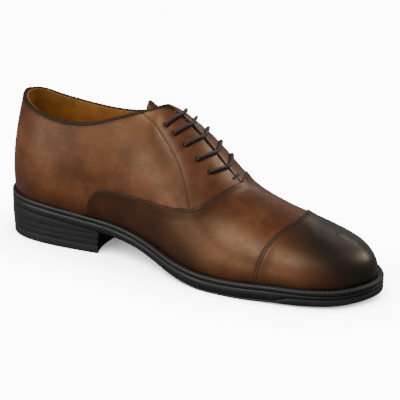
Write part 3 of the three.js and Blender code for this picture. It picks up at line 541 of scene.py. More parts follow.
@dataclass
class Patch:
    """One leather piece cut from the last: its outline on the surface, its edges and its depths."""

    side: Side
    start: Limit
    end: Limit
    low: Limit
    high: Limit
    columns: int = 90
    rows: int = 44
    rolled: tuple[str, ...] = ()
    raised: tuple[tuple[str, float, float], ...] = ()
    face_depth: float = 0.0
    back_depth: float = UPPER_LEATHER
    grooves: tuple[tuple[str, float], ...] = ()
    seam: Array | None = None

    def spread(self, count: int, first: str, last: str) -> list[tuple[float, float]]:
        """Shares and offsets of grid lines between two edges, closer at a rolled or grooved edge.

        Args:
            count: Lines between the edges.
            first: Edge it starts from.
            last: Edge it runs to.

        Returns:
            A share and an offset in millimetres for each line.
        """
        edges = [d for d, _ in EDGE_ROLL]
        near = {name: self.edge_lines(name, edges) for name in (first, last)}
        reach = {name: (lines[-1] if lines else 0.0) for name, lines in near.items()}
        lines = [(0.0, d) for d in near[first][:-1]]
        shares = np.linspace(0, 1, count)
        lines += [(float(w), (1 - w) * reach[first] - w * reach[last]) for w in shares]
        lines += [(1.0, -d) for d in near[last][:-1][::-1]]
        return lines

    def edge_lines(self, name: str, edges: list[float]) -> list[float]:
        """Distances from an edge at which it needs grid lines.

        Args:
            name: The edge.
            edges: Distances that a rolled edge needs.

        Returns:
            Distances in rising order.
        """
        lines = list(edges) if name in self.rolled else []
        for key, place in self.grooves:
            if key == name:
                lines += [place - 0.45, place - 0.2, place, place + 0.2, place + 0.45]
        return sorted({round(d, 3) for d in lines if d >= 0})

    def sample(self) -> Grid:
        """Rounds, rises and edge distances over the piece's grid.

        Returns:
            The grid's values by name.
        """
        columns = self.spread(self.columns, "start", "end")
        rows = self.spread(self.rows, "low", "high")
        w_across = np.array([row[0] for row in rows])[None, :]
        off_across = np.array([row[1] for row in rows])[None, :]
        w_along = np.array([column[0] for column in columns])[:, None]
        off_along = np.array([column[1] for column in columns])[:, None]
        first, last = self.start(w_across), self.end(w_across)
        station = first * (1 - w_along) + last * w_along
        rounds = side_round(self.side, station)
        middle = np.clip(w_across, 0.02, 0.97)
        step = LAST.point(rounds + 0.01, middle) - LAST.point(rounds - 0.01, middle)
        per_station = np.linalg.norm(step, axis=-1) / 0.02
        station = station + off_along / np.maximum(per_station, 6.0)
        rounds = side_round(self.side, station)
        length = LAST.rib_length(rounds)
        bottom, top = self.low(station), self.high(station)
        rise = bottom * (1 - w_across) + top * w_across + off_across / length
        grid = {
            "station": station,
            "round": rounds,
            "rise": rise,
            "low": (rise - bottom) * length,
            "high": (top - rise) * length,
            "start": (station - first) * per_station,
            "end": (last - station) * per_station,
        }
        if self.seam is not None:
            grid["high"] = distance_to(LAST.point(rounds, rise), self.seam)
        return grid

    def depths(self, grid: Grid) -> Array:
        """Depth of the outer face, with its rolled edges, laps and stitch grooves.

        Args:
            grid: The piece's grid.

        Returns:
            Depths in millimetres below the last's face.
        """
        depth = np.full(grid["rise"].shape, self.face_depth)
        for name in self.rolled:
            depth = depth + np.interp(grid[name], *zip(*EDGE_ROLL))
        for name, height, run in self.raised:
            depth = depth - height * (1 - smoothstep(grid[name], 0, run))
        for name, place in self.grooves:
            depth = depth + 0.16 * np.exp(-(((grid[name] - place) / 0.24) ** 2))
        return depth

    def add_to(self, skin: Skin, shape: Callable[[Grid], Array] | None = None,
               skip: Sequence[str] = (), wall_until: float = 99.0) -> Grid:
        """Add the closed piece to a skin.

        Args:
            skin: The mesh that takes it.
            shape: Extra depth over the grid, such as a dimple.
            skip: Rims left open because a mirrored piece is welded on there.
            wall_until: Station past which the high rim is a weld instead of an edge.

        Returns:
            The grid it was built on.
        """
        grid = self.sample()
        face = self.depths(grid)
        if shape is not None:
            face = face + shape(grid)
        back = np.full_like(face, self.back_depth)
        rows, columns = face.shape
        outer = LAST.at(grid["round"], grid["rise"], face)
        inner = LAST.at(grid["round"], grid["rise"], np.maximum(back, face + 0.2))
        quads = grid_faces(rows, columns) + grid_faces(rows, columns, rows * columns)
        station = np.tile(grid["station"].reshape(-1), 2)
        high = set(range(columns - 1, 2 * rows * columns, columns))
        quads += [
            quad for quad in rim_faces(rows, columns, skip)
            if not (high.issuperset(quad) and station[quad[0]] > wall_until)
        ]
        points = np.concatenate([outer.reshape(-1, 3), inner.reshape(-1, 3)])
        edge = np.exp(-np.minimum.reduce([grid[name] for name in self.rolled or ("low",)]) / 1.6)
        skin.add(
            points, quads,
            edge=np.tile(np.clip(edge, 0, 1).reshape(-1), 2),
            rise=np.tile(grid["rise"].reshape(-1), 2),
            station=station,
        )
        return grid


def distance_to(places: Array, path: Array) -> Array:
    """Distance from each place to the nearest point of a densely drawn path.

    Args:
        places: Points to measure from.
        path: Points of the path.

    Returns:
        Distances in the shape of the places.
    """
    flat = places.reshape(-1, 3)
    nearest = [np.linalg.norm(part[:, None] - path[None], axis=2).min(axis=1)
               for part in np.array_split(flat, max(1, len(flat) // 2000))]
    return np.concatenate(nearest).reshape(places.shape[:-1])


def dense(table: Table, count: int) -> tuple[Array, Array]:
    """Evenly spread places along a seam's table.

    Args:
        table: Rows of station and rise.
        count: How many places.

    Returns:
        Stations and rises.
    """
    rows = np.array(table, float)
    run = np.hypot(np.diff(rows[:, 0]) * STATION_RUN, np.diff(rows[:, 1]) * RIB_RUN)
    run = np.concatenate([[0], np.cumsum(run)])
    places = np.linspace(0, run[-1], count)
    return np.interp(places, run, rows[:, 0]), np.interp(places, run, rows[:, 1])


def soften_line(values: Array, reach: int) -> Array:
    """A running mean that keeps both ends.

    Args:
        values: Evenly spaced values.
        reach: Neighbours taken on each side.

    Returns:
        As many values, smoothed.
    """
    before = 2 * values[0] - values[reach:0:-1]
    beyond = 2 * values[-1] - values[-2:-reach - 2:-1]
    padded = np.concatenate([before, values, beyond])
    return np.convolve(padded, np.ones(2 * reach + 1) / (2 * reach + 1), mode="valid")


def seam_path(side: Side, table: Table, reach: int = 0) -> Array:
    """A seam's points on the last's face, its corners eased over a reach of points.

    Args:
        side: Side of the shoe.
        table: Rows of station and rise.
        reach: Points over which corners are eased.

    Returns:
        The points.
    """
    stations, rises = dense(table, SEAM_POINTS)
    if reach:
        stations, rises = soften_line(stations, reach), soften_line(rises, reach)
    return LAST.point(side_round(side, stations), rises)


def level(value: float) -> Limit:
    """A limit that is the same all along."""
    return lambda place: np.full(np.shape(place), float(value))


def cap_station(rise: Array) -> Array:
    """Station of the cap's seam at a rise."""
    return along_table([(r, s) for s, r in CAP_SEAM], rise)


def resample(points: Array, pitch: float) -> tuple[Array, Array]:
    """Evenly spaced points along a path, and the share of the path at each.

    Args:
        points: Points of the path.
        pitch: Spacing in millimetres.

    Returns:
        The points and their shares.
    """
    steps = np.linalg.norm(np.diff(points, axis=0), axis=1)
    run = np.concatenate([[0], np.cumsum(steps)])
    count = max(2, int(run[-1] / pitch))
    places = np.linspace(0, run[-1], count)
    return np.stack([np.interp(places, run, points[:, k]) for k in range(3)], -1), places / run[-1]


def smooth_path(points: Array, steps: int = 6) -> Array:
    """Points on a smooth curve through a chain of points.

    Args:
        points: The chain.
        steps: Points from one link to the next.

    Returns:
        The points.
    """
    padded = np.concatenate([[2 * points[0] - points[1]], points, [2 * points[-1] - points[-2]]])
    shares = np.linspace(0, 1, steps, endpoint=False)
    places = [curve_between(padded[i - 1:i + 3], f) for i in range(1, len(padded) - 2) for f in shares]
    return np.array([*places, points[-1]])


def frames_along(points: Array) -> tuple[Array, Array, Array]:
    """Directions along a path, and two across it that turn as little as they can.

    Args:
        points: Points of the path.

    Returns:
        Directions ahead, across and up.
    """
    ahead = unit(np.gradient(points, axis=0))
    across = np.zeros_like(ahead)
    start = np.cross([0.0, 0.0, 1.0], ahead[0])
    across[0] = unit(start if np.linalg.norm(start) > 1e-6 else np.array([1.0, 0.0, 0.0]))
    for i in range(1, len(points)):
        turned = across[i - 1] - ahead[i] * np.dot(across[i - 1], ahead[i])
        across[i] = unit(turned)
    return ahead, across, np.cross(ahead, across)


# ------------------------------------------------------------------ thread


@dataclass(frozen=True)
class Stitching:
    """A row of stitches: their pitch, how much of it shows, and the thread's radius."""

    pitch: float = 2.0
    shown: float = 0.8
    radius: float = 0.28
    sides: int = 6

    def add_to(self, skin: Skin, path: Array, normals: Array) -> None:
        """Lay the stitches along a path.

        Args:
            skin: The mesh that takes them.
            path: Points on the leather's face.
            normals: Outward normals there.
        """
        points, share = resample(path, self.pitch)
        steps = np.linalg.norm(np.diff(path, axis=0), axis=1)
        source = np.concatenate([[0], np.cumsum(steps)]) / steps.sum()
        outward = unit(np.stack([np.interp(share, source, normals[:, k]) for k in range(3)], -1))
        ahead = unit(np.gradient(points, axis=0))
        across = unit(np.cross(outward, ahead))
        reach = self.pitch * self.shown / 2
        shape = ((-1, 0.35, -0.5), (-0.72, 0.85, 0.1), (0, 1, 0.35), (0.72, 0.85, 0.1), (1, 0.35, -0.5))
        faces = tube_faces(len(shape), self.sides)
        for p, n, t, s in zip(points, outward, ahead, across):
            ring = circle(s, n, self.sides)
            rings = [
                p + t * along * reach + n * height * self.radius + ring * self.radius * thick
                for along, thick, height in shape
            ]
            skin.add(np.concatenate(rings), faces)


# ------------------------------------------------------------------ finishes


class GroupKit:
    """Builds the shared shader groups once and hands them out."""

    made: dict[str, NodeTree] = {}

    @classmethod
    def get(cls, name: str) -> NodeTree:
        """The group of that name, built on first use.

        Args:
            name: The group's name.

        Returns:
            The group.
        """
        if name not in cls.made:
            cls.made[name] = getattr(cls, f"make_{name}")()
        return cls.made[name]

    @staticmethod
    def blank(name: str, outputs: Sequence[str],
              **numbers: float) -> tuple[NodeTree, "Wiring", dict[str, Socket], dict[str, Socket]]:
        """An empty group with a vector input, number inputs and number outputs.

        Args:
            name: The group's name.
            outputs: Names of the outputs.
            numbers: Default of each number input, by name.

        Returns:
            The tree, its wiring helper, what it is given and what it gives.
        """
        tree = bpy.data.node_groups.new(name, "ShaderNodeTree")
        vector = tree.interface.new_socket(name="Vector", in_out="INPUT", socket_type="NodeSocketVector")
        vector.default_value = (0, 0, 0)
        for key, default in numbers.items():
            socket = tree.interface.new_socket(name=key, in_out="INPUT", socket_type="NodeSocketFloat")
            socket.default_value = default
        for key in outputs:
            tree.interface.new_socket(name=key, in_out="OUTPUT", socket_type="NodeSocketFloat")
        wiring = Wiring(tree)
        return tree, wiring, wiring.node("NodeGroupInput").outputs, wiring.node("NodeGroupOutput").inputs

    @classmethod
    def make_calf_grain(cls) -> NodeTree:
        """Fine pores and soft pebbling of calf, as a height and a pore mask.

        Returns:
            The group.
        """
        tree, w, given, out = cls.blank("calf_grain", ("Height", "Pores"), Size=2200.0)
        cells = w.node("ShaderNodeTexVoronoi", feature="F1")
        w.link(given["Vector"], cells.inputs["Vector"])
        w.link(given["Size"], cells.inputs["Scale"])
        noise = w.noise(given["Vector"], w.math("MULTIPLY", given["Size"], 0.35), 5)
        pores = w.ramp(cells.outputs["Distance"], ((0.0, 0.0), (0.5, 1.0)))
        height = w.math("ADD", w.math("MULTIPLY", pores, 0.55), w.math("MULTIPLY", noise, 0.45))
        w.link(height, out["Height"])
        w.link(pores, out["Pores"])
        return tree

    @classmethod
    def make_hand_burnish(cls) -> NodeTree:
        """Cream and wax worked in by hand: cloudy light and dark patches, as two masks.

        Returns:
            The group.
        """
        tree, w, given, out = cls.blank("hand_burnish", ("Cloud", "Fine"), Cloud=26.0, Streak=240.0)
        big = w.noise(given["Vector"], given["Cloud"], 4, 0.6)
        fine = w.noise(given["Vector"], given["Streak"], 6, 0.7)
        w.link(w.ramp(big, ((0.34, 0.0), (0.66, 1.0)), Ramp.EASE), out["Cloud"])
        w.link(w.ramp(fine, ((0.3, 0.0), (0.72, 1.0))), out["Fine"])
        return tree

    @classmethod
    def make_inked_edge(cls) -> NodeTree:
        """Ironed and inked sole edge: long fine lines and a faint cloud.

        Returns:
            The group.
        """
        tree, w, given, out = cls.blank("inked_edge", ("Lines", "Cloud"), Lines=1500.0)
        squash = w.node("ShaderNodeMapping")
        squash.inputs["Scale"].default_value = (0.04, 0.04, 1.0)
        w.link(given["Vector"], squash.inputs["Vector"])
        cloud = w.noise(given["Vector"], 60, 5)
        w.link(w.noise(squash.outputs["Vector"], given["Lines"], 3), out["Lines"])
        w.link(w.ramp(cloud, ((0.35, 0.0), (0.68, 1.0))), out["Cloud"])
        return tree

    @classmethod
    def make_twisted_yarn(cls) -> NodeTree:
        """Plies of twisted, waxed yarn, as a height and a fuzz mask.

        Returns:
            The group.
        """
        tree, w, given, out = cls.blank("twisted_yarn", ("Height", "Fuzz"), Plies=900.0)
        wave = w.node("ShaderNodeTexWave", wave_type="BANDS", bands_direction="DIAGONAL")
        w.link(given["Vector"], wave.inputs["Vector"])
        w.link(given["Plies"], wave.inputs["Scale"])
        wave.inputs["Distortion"].default_value = 1.5
        w.link(wave.outputs["Fac"], out["Height"])
        w.link(w.noise(given["Vector"], 2600, 4), out["Fuzz"])
        return tree


@dataclass
class Wiring:
    """Short ways to add and join nodes in one tree."""

    tree: NodeTree

    def node(self, kind: str, **settings: object) -> Node:
        """Add a node and set its plain properties.

        Args:
            kind: Type of the node.
            settings: Properties by name.

        Returns:
            The node.
        """
        node = self.tree.nodes.new(kind)
        for key, value in settings.items():
            setattr(node, key, value)
        return node

    @staticmethod
    def preset(node: Node, values: dict[str, object]) -> None:
        """Set a node's own sockets."""
        for key, value in values.items():
            node.inputs[key].default_value = value

    def link(self, source: Socket, target: Socket) -> None:
        """Join two sockets."""
        self.tree.links.new(source, target)

    def math(self, operation: str, first: object, second: object = 0.0) -> Socket:
        """Output of a math node on sockets or numbers.

        Args:
            operation: What it does.
            first: First number or socket.
            second: Second number or socket.

        Returns:
            The output.
        """
        node = self.node("ShaderNodeMath", operation=operation)
        for socket, value in zip(node.inputs, (first, second)):
            if isinstance(value, Socket):
                self.link(value, socket)
            else:
                socket.default_value = float(value)
        return node.outputs[0]

    def scaled(self, source: Socket, gain: float, offset: float) -> Socket:
        """A socket's value times a gain, plus an offset."""
        return self.math("ADD", self.math("MULTIPLY", source, gain), offset)

    def eased(self, source: Socket, low: float, high: float) -> Socket:
        """Ease from 0 where a socket is low to 1 where it is high.

        Args:
            source: The socket that is read.
            low: Value that gives 0.
            high: Value that gives 1.

        Returns:
            The output.
        """
        node = self.node("ShaderNodeMapRange", interpolation_type="SMOOTHSTEP")
        self.preset(node, {"From Min": low, "From Max": high})
        self.link(source, node.inputs["Value"])
        return node.outputs["Result"]

    def noise(self, vector: Socket, scale: Socket | float, detail: float,
              roughness: float = 0.5) -> Socket:
        """Grey noise at a scale given as a number or a socket.

        Args:
            vector: Coordinates that it is laid out in.
            scale: How fine it is.
            detail: How many octaves.
            roughness: Weight of the finer octaves.

        Returns:
            The output.
        """
        node = self.node("ShaderNodeTexNoise")
        self.link(vector, node.inputs["Vector"])
        if isinstance(scale, Socket):
            self.link(scale, node.inputs["Scale"])
        else:
            node.inputs["Scale"].default_value = scale
        self.preset(node, {"Detail": detail, "Roughness": roughness})
        return node.outputs["Fac"]

    def ramp(self, source: Socket, stops: Table,
             kind: Ramp = Ramp.LINEAR) -> Socket:
        """A grey ramp from stops of (place, value).

        Args:
            source: The socket that is read.
            stops: Both stops.
            kind: How it runs between them.

        Returns:
            The output.
        """
        node = self.node("ShaderNodeValToRGB")
        node.color_ramp.interpolation = kind.value
        for element, (place, value) in zip(node.color_ramp.elements, stops):
            element.position = place
            element.color = (value, value, value, 1)
        self.link(source, node.inputs["Fac"])
        return node.outputs["Color"]

    def mix(self, share: object, first: object, second: object) -> Socket:
        """Colour between two colours or sockets.

        Args:
            share: Share of the second.
            first: First colour or socket.
            second: Second colour or socket.

        Returns:
            The output.
        """
        node = self.node("ShaderNodeMix", data_type="RGBA", blend_type="MIX")
        if isinstance(share, Socket):
            self.link(share, node.inputs["Factor"])
        else:
            node.inputs["Factor"].default_value = float(share)
        for socket, value in zip((node.inputs[6], node.inputs[7]), (first, second)):
            if isinstance(value, Socket):
                self.link(value, socket)
            else:
                socket.default_value = (*value, 1)
        return node.outputs[2]

    def group(self, name: str, vector: Socket, **values: float) -> Node:
        """Place a shared group with its own values.

        Args:
            name: The group's name.
            vector: Coordinates that it is laid out in.
            values: Its inputs by name.

        Returns:
            The group's node.
        """
        node = self.node("ShaderNodeGroup")
        node.node_tree = GroupKit.get(name)
        self.link(vector, node.inputs["Vector"])
        self.preset(node, values)
        return node

    def attribute(self, name: str) -> Socket:
        """A mask stored on the mesh."""
        node = self.node("ShaderNodeAttribute", attribute_name=name)
        return node.outputs["Fac"]

    def bump(self, height: Socket, strength: float, distance: float) -> Socket:
        """Normal from a height.

        Args:
            height: The height's socket.
            strength: Its strength.
            distance: Its depth in metres.

        Returns:
            The normal.
        """
        node = self.node("ShaderNodeBump")
        self.preset(node, {"Strength": strength, "Distance": distance})
        self.link(height, node.inputs["Height"])
        return node.outputs["Normal"]


def new_material(name: str) -> tuple[Material, Wiring, Node, Socket]:
    """A material with its Principled shader and object coordinates.

    Args:
        name: The material's name.

    Returns:
        The material, its wiring, its shader and the coordinates.
    """
    material = bpy.data.materials.new(name)
    material.use_nodes = True
    wiring = Wiring(material.node_tree)
    shader = next(n for n in material.node_tree.nodes if n.type == "BSDF_PRINCIPLED")
    place = wiring.node("ShaderNodeTexCoord").outputs["Object"]
    return material, wiring, shader, place


@dataclass(frozen=True)
class CalfFinish:
    """Burnished calf: three shades, a darker toe, and the gloss of its wax."""

    name: str
    light: Colour
    middle: Colour
    dark: Colour
    roughness: float = 0.36
    coat: float = 0.0
    gloss: Colour = (1.0, 0.72, 0.45)
    toe_from: float = 0.0
    toe_to: float = 0.0
    toe_shade: Colour = (0.006, 0.0045, 0.004)
    foot_dark: float = 0.6
    grain: float = 0.12
    # Darkens the vamp's sides behind the throat as painted shade.
    waist_painted_shade: float = 0.0

    def build(self) -> Material:
        """Make the material.

        Returns:
            The material.
        """
        material, w, shader, place = new_material(self.name)
        grain = w.group("calf_grain", place, Size=2400.0)
        burnish = w.group("hand_burnish", place, Cloud=31.0, Streak=230.0)
        tone = w.mix(burnish.outputs["Cloud"], self.middle, self.light)
        fine = w.math("MULTIPLY", burnish.outputs["Fine"], 0.35)
        tone = w.mix(fine, tone, self.middle)
        foot = w.ramp(w.attribute("rise"), ((0.0, 1.0), (0.27, 0.0)), Ramp.EASE)
        foot = w.math("MULTIPLY", foot, self.foot_dark)
        tone = w.mix(foot, tone, self.dark)
        # Painted shade: the vamp's sides behind the throat are darkened.
        if self.waist_painted_shade:
            waist = w.eased(w.attribute("station"), 9.3, 8.1)
            tone = w.mix(w.math("MULTIPLY", waist, self.waist_painted_shade), tone, self.dark)
        edge = w.math("MULTIPLY", w.attribute("edge"), 0.85)
        tone = w.mix(edge, tone, self.dark)
        if self.toe_to > self.toe_from:
            split = w.node("ShaderNodeSeparateXYZ")
            w.link(place, split.inputs["Vector"])
            wobble = w.math("MULTIPLY", w.math("SUBTRACT", burnish.outputs["Cloud"], 0.5), 0.007)
            lifted = w.math("MULTIPLY", w.math("SUBTRACT", split.outputs["Z"], 0.03), 1.5)
            ahead = w.math("ADD", w.math("ADD", split.outputs["X"], wobble), lifted)
            tone = w.mix(w.eased(ahead, self.toe_from, self.toe_to), tone, self.toe_shade)
        w.link(tone, shader.inputs["Base Color"])
        rough = w.scaled(burnish.outputs["Fine"], 0.1, self.roughness - 0.05)
        rough = w.math("ADD", rough, w.math("MULTIPLY", grain.outputs["Pores"], 0.03))
        w.link(rough, shader.inputs["Roughness"])
        w.link(w.bump(grain.outputs["Height"], self.grain, 0.00012), shader.inputs["Normal"])
        w.preset(shader, {
            "Coat Weight": self.coat, "Coat Roughness": 0.2, "Specular Tint": (*self.gloss, 1), "IOR": 1.5,
        })
        return material


@dataclass(frozen=True)
class LiningFinish:
    """Unpolished lining calf with open pores, tan for the linings and dark brown for the sock, which partly
    paints the shade deep inside the shoe.
    """

    name: str
    light: Colour
    dark: Colour
    roughness: float = 0.5

    def build(self) -> Material:
        """Make the material.

        Returns:
            The material.
        """
        material, w, shader, place = new_material(self.name)
        grain = w.group("calf_grain", place, Size=1500.0)
        burnish = w.group("hand_burnish", place, Cloud=45.0, Streak=500.0)
        tone = w.mix(burnish.outputs["Cloud"], self.dark, self.light)
        tone = w.mix(w.math("MULTIPLY", burnish.outputs["Fine"], 0.3), tone, self.dark)
        w.link(tone, shader.inputs["Base Color"])
        w.link(w.scaled(grain.outputs["Pores"], 0.12, self.roughness), shader.inputs["Roughness"])
        w.link(w.bump(grain.outputs["Height"], 0.3, 0.0002), shader.inputs["Normal"])
        return material


@dataclass(frozen=True)
class SoleFinish:
    """Inked and ironed sole leather or moulded rubber."""

    name: str
    light: Colour
    dark: Colour
    roughness: float = 0.36
    coat: float = 0.0
    lines: float = 0.12
    # Lighter colour for the welt's top edge: a painted highlight.
    painted_edge_highlight: Colour = (0.085, 0.078, 0.066)

    def build(self) -> Material:
        """Make the material.

        Returns:
            The material.
        """
        material, w, shader, place = new_material(self.name)
        ink = w.group("inked_edge", place, Lines=1500.0)
        grain = w.group("calf_grain", place, Size=1800.0)
        share = w.math("ADD", w.math("MULTIPLY", ink.outputs["Cloud"], 0.6),
                       w.math("MULTIPLY", ink.outputs["Lines"], 0.4))
        tone = w.mix(share, self.dark, self.light)
        # The welt's top edge is mixed towards the lighter colour, a painted highlight.
        worn = w.math("MULTIPLY", w.attribute("worn"), 0.8)
        w.link(w.mix(worn, tone, self.painted_edge_highlight), shader.inputs["Base Color"])
        w.link(w.scaled(ink.outputs["Cloud"], 0.14, self.roughness), shader.inputs["Roughness"])
        height = w.math("ADD", w.math("MULTIPLY", ink.outputs["Lines"], self.lines),
                        w.math("MULTIPLY", grain.outputs["Height"], 0.3))
        w.link(w.bump(height, 0.35, 0.00016), shader.inputs["Normal"])
        w.preset(shader, {"Coat Weight": self.coat, "Coat Roughness": 0.25})
        return material


@dataclass(frozen=True)
class YarnFinish:
    """Waxed thread or lace."""

    name: str
    light: Colour
    dark: Colour
    plies: float = 900.0
    roughness: float = 0.55

    def build(self) -> Material:
        """Make the material.

        Returns:
            The material.
        """
        material, w, shader, place = new_material(self.name)
        yarn = w.group("twisted_yarn", place, Plies=self.plies)
        w.link(w.mix(yarn.outputs["Fuzz"], self.dark, self.light), shader.inputs["Base Color"])
        w.link(w.scaled(yarn.outputs["Fuzz"], 0.2, self.roughness - 0.1), shader.inputs["Roughness"])
        w.link(w.bump(yarn.outputs["Height"], 0.3, 0.0002), shader.inputs["Normal"])
        shader.inputs["Sheen Weight"].default_value = 0.15
        return material


@dataclass(frozen=True)
class MetalFinish:
    """Steel or bronzed brass with a brushed, slightly tarnished face."""

    name: str
    light: Colour
    dark: Colour
    roughness: float = 0.35

    def build(self) -> Material:
        """Make the material.

        Returns:
            The material.
        """
        material, w, shader, place = new_material(self.name)
        ink = w.group("inked_edge", place, Lines=4000.0)
        w.link(w.mix(ink.outputs["Cloud"], self.dark, self.light), shader.inputs["Base Color"])
        w.link(w.scaled(ink.outputs["Lines"], 0.2, self.roughness - 0.1), shader.inputs["Roughness"])
        shader.inputs["Metallic"].default_value = 1.0
        return material


@dataclass(frozen=True)
class BoardFinish:
    """Pressed board, cork or insole leather: speckled and dull."""

    name: str
    light: Colour
    dark: Colour
    speck: float = 700.0

    def build(self) -> Material:
        """Make the material.

        Returns:
            The material.
        """
        material, w, shader, place = new_material(self.name)
        specks = w.group("calf_grain", place, Size=self.speck)
        burnish = w.group("hand_burnish", place, Cloud=60.0, Streak=400.0)
        w.link(w.mix(specks.outputs["Pores"], self.dark, self.light), shader.inputs["Base Color"])
        w.link(w.scaled(burnish.outputs["Fine"], 0.15, 0.7), shader.inputs["Roughness"])
        w.link(w.bump(specks.outputs["Height"], 0.4, 0.0003), shader.inputs["Normal"])
        return material


class Wardrobe:
    """Every finish of the shoe, built once."""

    def __init__(self) -> None:
        """Build the finishes."""
        chestnut = dict(light=(0.185, 0.067, 0.026), middle=(0.085, 0.0245, 0.009),
                        dark=(0.02, 0.0065, 0.0035))
        self.calf = CalfFinish("burnished_calf", **chestnut).build()
        # The vamp's copy of the calf darkens its sides behind the throat as painted shade.
        self.vamp = CalfFinish("burnished_vamp_calf_painted_shade", **chestnut, waist_painted_shade=0.62).build()
        self.cap = CalfFinish("burnished_toe_calf", **chestnut, toe_from=0.078, toe_to=0.118).build()
        self.tongue = CalfFinish("tongue_calf", light=(0.06, 0.026, 0.015), middle=(0.04, 0.017, 0.01),
                                 dark=(0.015, 0.008, 0.006), foot_dark=0.0).build()
        self.binding = CalfFinish("binding_calf", light=(0.02, 0.011, 0.007), middle=(0.013, 0.007, 0.005),
                                  dark=(0.007, 0.004, 0.003), foot_dark=0.0, roughness=0.6).build()
        self.lining = LiningFinish("tan_lining", (0.46, 0.19, 0.034), (0.31, 0.12, 0.02)).build()
        # The sock's dark brown is partly its own leather and partly painted shade for the deep inside of
        # the shoe.
        self.sock = LiningFinish("dark_sock_painted_shade", (0.045, 0.024, 0.014), (0.02, 0.012, 0.008)).build()
        self.edge = SoleFinish("inked_sole", (0.013, 0.0125, 0.012), (0.006, 0.0056, 0.0054)).build()
        self.heel = SoleFinish("inked_heel", (0.014, 0.0135, 0.0135), (0.007, 0.0066, 0.0066), 0.42).build()
        self.rubber = SoleFinish("black_rubber", (0.02, 0.02, 0.02), (0.011, 0.011, 0.011), 0.5,
                                 lines=0.1).build()
        self.thread = YarnFinish("dark_thread", (0.03, 0.014, 0.01), (0.012, 0.006, 0.005)).build()
        self.welt_thread = YarnFinish("welt_thread", (0.05, 0.045, 0.04), (0.02, 0.018, 0.016)).build()
        self.lace = YarnFinish("waxed_lace", (0.04, 0.024, 0.017), (0.016, 0.009, 0.007), 1400.0).build()
        self.tip = SoleFinish("lace_tip", (0.03, 0.015, 0.01), (0.015, 0.008, 0.006), 0.2, 0.5).build()
        self.brass = MetalFinish("bronzed_brass", (0.22, 0.14, 0.07), (0.1, 0.06, 0.03)).build()
        self.steel = MetalFinish("spring_steel", (0.5, 0.5, 0.52), (0.35, 0.35, 0.37)).build()
        self.board = BoardFinish("leatherboard", (0.5, 0.38, 0.26), (0.34, 0.25, 0.16)).build()
        self.cork = BoardFinish("cork", (0.4, 0.25, 0.13), (0.16, 0.09, 0.045), 420.0).build()


def settle(obj: Piece, material: Material, slot: str, *nodes: str,
           body: str = SHOE_BODY) -> Piece:
    """Dress a piece, seat it on its body and hide the CAD nodes that it replaces.

    Args:
        obj: The new piece.
        material: Its finish.
        slot: The record's material slot; not used.
        nodes: CAD nodes that it replaces.
        body: The body that it moves with.

    Returns:
        The same piece.
    """
    obj.data.materials.clear()
    obj.data.materials.append(material)
    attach(obj, body)
    if nodes:
        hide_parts(*nodes)
    LOG.info("made %s with %d points", obj.name, len(obj.data.vertices))
    return obj


def sew(rows: Skin, thread: Material, body: str = SHOE_BODY) -> None:
    """Finish rows of stitches as a piece of their own."""
    settle(rows.build(sharp=80), thread, "lace_cotton", body=body)


# ------------------------------------------------------------------ the upper


